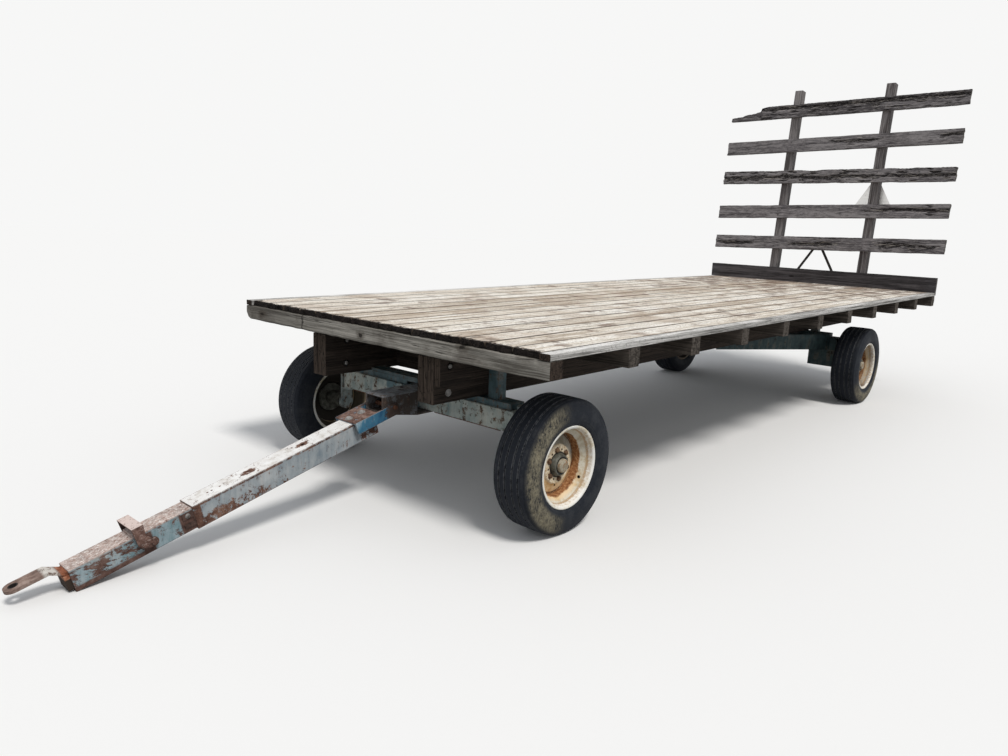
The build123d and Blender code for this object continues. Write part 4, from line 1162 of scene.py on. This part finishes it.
def strap_marks(s):
    """Orange at the tube's mouth and pale where the strap bends, with painted shade on the block low in the mouth
    and inside its eye.
    """
    reach, up, x = tongue_place(s)
    s.cover(s.span(s.noise((70.0, 24.0, 70.0), 7.0, 0.75), 0.46, 0.58) * 0.15, (0.36, 0.31, 0.28))
    cloud = s.noise(40.0, 6.0, 0.7)
    s.cover(s.band(reach, 1.712, 1.76, 0.008) * s.span(cloud, 0.4, 0.5) * 0.9, (0.7, 0.67, 0.62))
    orange = ((0.36, (0.13, 0.045, 0.022)), (0.5, (0.34, 0.125, 0.065)), (0.62, (0.48, 0.24, 0.15)))
    s.cover(s.span(reach + cloud * 0.02, 1.72, 1.714), s.ramp(cloud, *orange))
    # Painted shade on the lower part of the block in the tube's mouth
    s.cover(s.span(reach, 1.712, 1.706) * s.span(up, 0.016, 0.01), (0.04, 0.027, 0.02))
    # Painted shade inside the eye
    s.cover(s.span(s.length(x, s.reach(eye, along)), 0.0195, 0.0175), (0.012, 0.009, 0.008))


bail_top = 0.098
bail_side = corners("latch_bail")[1].x - 0.01
eye = Vector(frame["record"]["mounts"][0]["pos_m"])
sheet_aluminium()
rusty_steel("bail_steel", ((0.045, 0.024, 0.019), (0.155, 0.086, 0.068), (0.33, 0.215, 0.18)), bail_marks)
rusty_steel("pad_steel", ((0.035, 0.022, 0.018), (0.105, 0.062, 0.05), (0.22, 0.145, 0.12)))
rusty_steel("pale_steel", ((0.22, 0.15, 0.125), (0.5, 0.395, 0.355), (0.7, 0.61, 0.57)))
rusty_steel("strap_steel", ((0.075, 0.044, 0.034), (0.2, 0.13, 0.105), (0.38, 0.285, 0.245)), strap_marks)

# The solids that show as they are take these materials
for material, *nodes in (
    ("gear_paint", "front_axle"),
    ("knuckle_paint", "knuckle_left", "knuckle_right"),
    ("shaded_bolster_paint", "front_bolster_left", "front_bolster_right"),
    ("head_paint", "steering_head"),
    ("shaded_gear_paint", "rear_axle", "rear_bolster_left", "rear_bolster_right", "reach_pole", "rear_hound_left",
     "rear_hound_right", "rear_spindle_left", "rear_spindle_right"),
    ("black_steel", "rack_braces", "king_bolt", "tie_rod_left", "tie_rod_right"),
    ("rusty_steel", "tongue_pin"),
    ("tongue_paint", "tongue_tube"),
    ("inner_paint", "inner_tube"),
    ("yoke_paint", "tongue_yoke"),
    ("sheet_aluminium", "slow_plate"),
    ("strap_steel", "hitch_strap"),
):
    for node in nodes:
        mesh = frame["nodes"][node].data
        mesh.materials.clear()
        mesh.materials.append(materials[material])

# Two bolts through the yoke's web
web_top = 0.0672
bm = bmesh.new()
for distance in (0.155, 0.238):
    add_bolt(bm, on_tongue(0.0, distance, web_top), rise, size=0.03, height=0.011, washer=0.021, dome=True)
add_metal("yoke_bolts", bm, "grey_bolt", "tongue", smooth=40)


def add_sheet(bm, outline, middle_x, thickness):
    """A flat sheet across X, its outline given by distances along the tongue and heights above its axis."""
    rings = []
    for x in (middle_x - thickness / 2, middle_x + thickness / 2):
        rings.append([bm.verts.new(on_tongue(x, distance, height)) for distance, height in outline])
    add_skin(bm, rings)
    for ring in rings:
        bm.faces.new(ring)


# Latch pad: a fork at the outer tube's mouth, open for the bail's pin when the inner tube slides in
inner_half = corners("inner_tube")[1].x
pad_back = 1.1565
pad_front = 1.2085
pad_low = -0.032
pad_high = 0.04
pad_steel_depth = 0.0045
slot_half = 0.0105
slot_end = 1.1615
fork = [(pad_back, pad_low), (pad_front, pad_low), (pad_front, -slot_half), (slot_end, -slot_half),
        (slot_end, slot_half), (pad_front, slot_half), (pad_front, pad_high), (pad_back, pad_high)]
bm = bmesh.new()
add_sheet(bm, fork, inner_half + 0.001 + pad_steel_depth / 2, pad_steel_depth)
add_metal("latch_pad", bm, "pad_steel", "tongue")
bm = bmesh.new()
add_bolt(bm, on_tongue(inner_half + 0.0052, 1.184, 0.0255), X, size=0.024, height=0.0052, dome=True)
add_metal("pad_bolt", bm, "grey_bolt", "tongue", smooth=40)

# Latch bail: a hoop of flat bar whose legs turn back to a pin across the inner tube
bail_pin = 1.352
bail_front = 1.422
bail_back = 1.372
bail_bar = 0.006
boss_radius = 0.021
pin_radius = 0.008
leg = [(bail_back, bail_top), (bail_front, bail_top)]
leg += [(bail_front - 0.006, 0.012), (bail_front - 0.032, -0.015)]
for turn in range(-70, -281, -15):
    angle = math.radians(turn)
    leg.append((bail_pin + boss_radius * math.cos(angle), boss_radius * math.sin(angle)))
leg += [(bail_pin + 0.012, 0.03), (bail_back + 0.002, 0.042)]
bm = bmesh.new()
for side in (1, -1):
    add_sheet(bm, leg, side * (bail_side - bail_bar / 2), bail_bar)
bridge = on_tongue(0.0, (bail_front + bail_back) / 2, bail_top - bail_bar)
add_plate(bm, bridge, X, -along, 2 * (bail_side - bail_bar), bail_front - bail_back, bail_bar, 0.0008)
sharp = [edge for edge in bm.edges if edge.calc_face_angle(0.0) > 1.2]
bmesh.ops.bevel(bm, geom=sharp, offset=0.0008, segments=1)
add_metal("latch_hoop", bm, "bail_steel", "tongue_inner", ("latch_bail",))
bm = bmesh.new()
for side in (1, -1):
    place = on_tongue(side * bail_side, bail_pin, 0.0)
    add_bolt(bm, place, X * side, size=0.024, height=0.007, washer=0.016, turn=0.3)
add_skin(bm, [[bm.verts.new(on_tongue(x, bail_pin + pin_radius * a, pin_radius * b)) for a, b in circle(20)]
              for x in (-bail_side, bail_side)])
add_metal("bail_pin", bm, "bail_steel", "tongue_inner", ("latch_bail",))

# A pale block below the bail, on top of the inner tube
bm = bmesh.new()
place = on_tongue(0.0, 1.398, inner_half)
add_plate(bm, place, X, -along, length=0.092, width=0.044, thickness=0.009, chamfer=0.0015)
add_metal("bail_plate", bm, "pale_steel", "tongue_inner")

# Bolts through the stringers: two rows of them in the right one
bolt_sink = 0.0025
bolt_rows = (0.804, 0.67)
bolt_places = []
for y, z in zip((front_axle_y - 0.309, front_axle_y - 0.315), bolt_rows):
    bolt_places += [(left_high.x, y, z), (right_high.x, y + 0.08, z)]
for y in (front_axle_y + 0.55, 0.2, 1.2, rear_axle_y - 0.4, rear_axle_y + 0.6):
    bolt_places.append((left_high.x, y, bolt_rows[0]))
    bolt_places += [(right_high.x, y, z) for z in bolt_rows]
bm = bmesh.new()
for face, y, z in bolt_places:
    add_bolt(bm, (face - bolt_sink, y, z), X, size=0.024, height=0.008, washer=0.019, dome=True)
add_metal("stringer_bolts", bm, "grey_bolt", "wagon", smooth=40)

# A lip below the front axle, on each side of the king bolt
axle_mesh = frame["nodes"]["front_axle"].data
axle_bottom = min(vert.co.z for vert in axle_mesh.vertices if abs(vert.co.x) < 0.25)
bm = bmesh.new()
for side in (1, -1):
    place = (side * 0.37, axle_low.y + 0.015, axle_bottom + 0.0005)
    add_plate(bm, place, X, -Y, length=0.5, width=0.024, thickness=0.006)
add_metal("axle_lip", bm, "rusty_steel", "wagon")

# The bolster goes on between the stringers as a channel, arched where the steering head turns below it
gap = 0.0005
saddle_low = corners("front_bolster_left")[0]
saddle_top = left_low.z + gap
bridge_depth = 0.1
bridge_steel = 0.006
sheet_foot = saddle_top + 0.016 - bridge_steel
arch_half = 0.13
arch_top = saddle_low.z + 0.0205
bridge_middle = (sill_left + sill_right) / 2
bridge_length = sill_left - sill_right
bm = bmesh.new()
add_plate(bm, (bridge_middle, front_axle_y, sheet_foot), X, Y, bridge_length, bridge_depth, bridge_steel)
cheek = saddle_low.x - gap - arch_half
cheek_x = arch_half + cheek / 2
# Webs below the sheet: middle, length, foot and top
webs = (
    (bridge_middle, bridge_length, saddle_top, sheet_foot),
    (0.0, 2 * arch_half, arch_top, saddle_top),
    (cheek_x, cheek, saddle_low.z + gap, saddle_top),
    (-cheek_x, cheek, saddle_low.z + gap, saddle_top),
)
for x, length, foot, top in webs:
    for face in (1, -1):
        place = (x, front_axle_y + face * (bridge_depth / 2 - bridge_steel), (foot + top) / 2)
        add_plate(bm, place, X, -face * Z, length, top - foot, bridge_steel)
add_metal("bolster_bridge", bm, "shaded_bolster_paint", "wagon")

# Floor and sky are near white where they are seen, and light the wagon less than that
seen_white = (0.93, 0.93, 0.925)
bm = bmesh.new()
bmesh.ops.create_circle(bm, cap_ends=True, segments=96, radius=60.0)
s = Shader("floor_paper", roughness=1.0, shine=0.0)
s.colour = s.mix(s.seen(), (0.3, 0.3, 0.29), seen_white)
s.finish()
floor = link_object("floor", make_mesh("floor", bm, ("floor_paper",)))

world = bpy.data.worlds.new("studio")
bpy.context.scene.world = world
world.use_nodes = True
sky = Nodes(world.node_tree)
dim = sky.add("Background", {"Color": (0.93, 0.96, 1.0, 1.0), "Strength": 0.5})
white = sky.add("Background", {"Color": (*seen_white, 1.0)})
chosen = sky.add("MixShader", {0: sky.seen(), 1: dim.outputs[0], 2: white.outputs[0]})
sky.feed(sky.tree.nodes["World Output"].inputs["Surface"], chosen.outputs[0])

# A high soft sun on the wagon's left
sun = bpy.data.lights.new("sun", "SUN")
sun.energy = 2.0
sun.angle = 0.25
sun.color = (1.0, 0.97, 0.93)
to_sun = Vector((0.72, -0.18, 1.15))
link_object("sun", sun).rotation_euler = to_sun.to_track_quat("Z", "Y").to_euler()

# Camera: where the photograph was taken from, turned to its view
camera_place = Vector((3.1815, front_axle_y - 2.9133, 1.5151))
camera_yaw = 0.7294
camera_pitch = -0.2008
camera_roll = 0.0385
lens = bpy.data.cameras.new("camera")
lens.sensor_width = 36.0
lens.lens = 27.42
camera = link_object("camera", lens)
level_view = Matrix.Rotation(camera_yaw, 4, "Z") @ Matrix.Rotation(math.pi / 2 + camera_pitch, 4, "X")
camera.matrix_world = Matrix.Translation(camera_place) @ level_view @ Matrix.Rotation(camera_roll, 4, "Z")
bpy.context.scene.camera = camera
bpy.context.scene.view_settings.view_transform = "Standard"
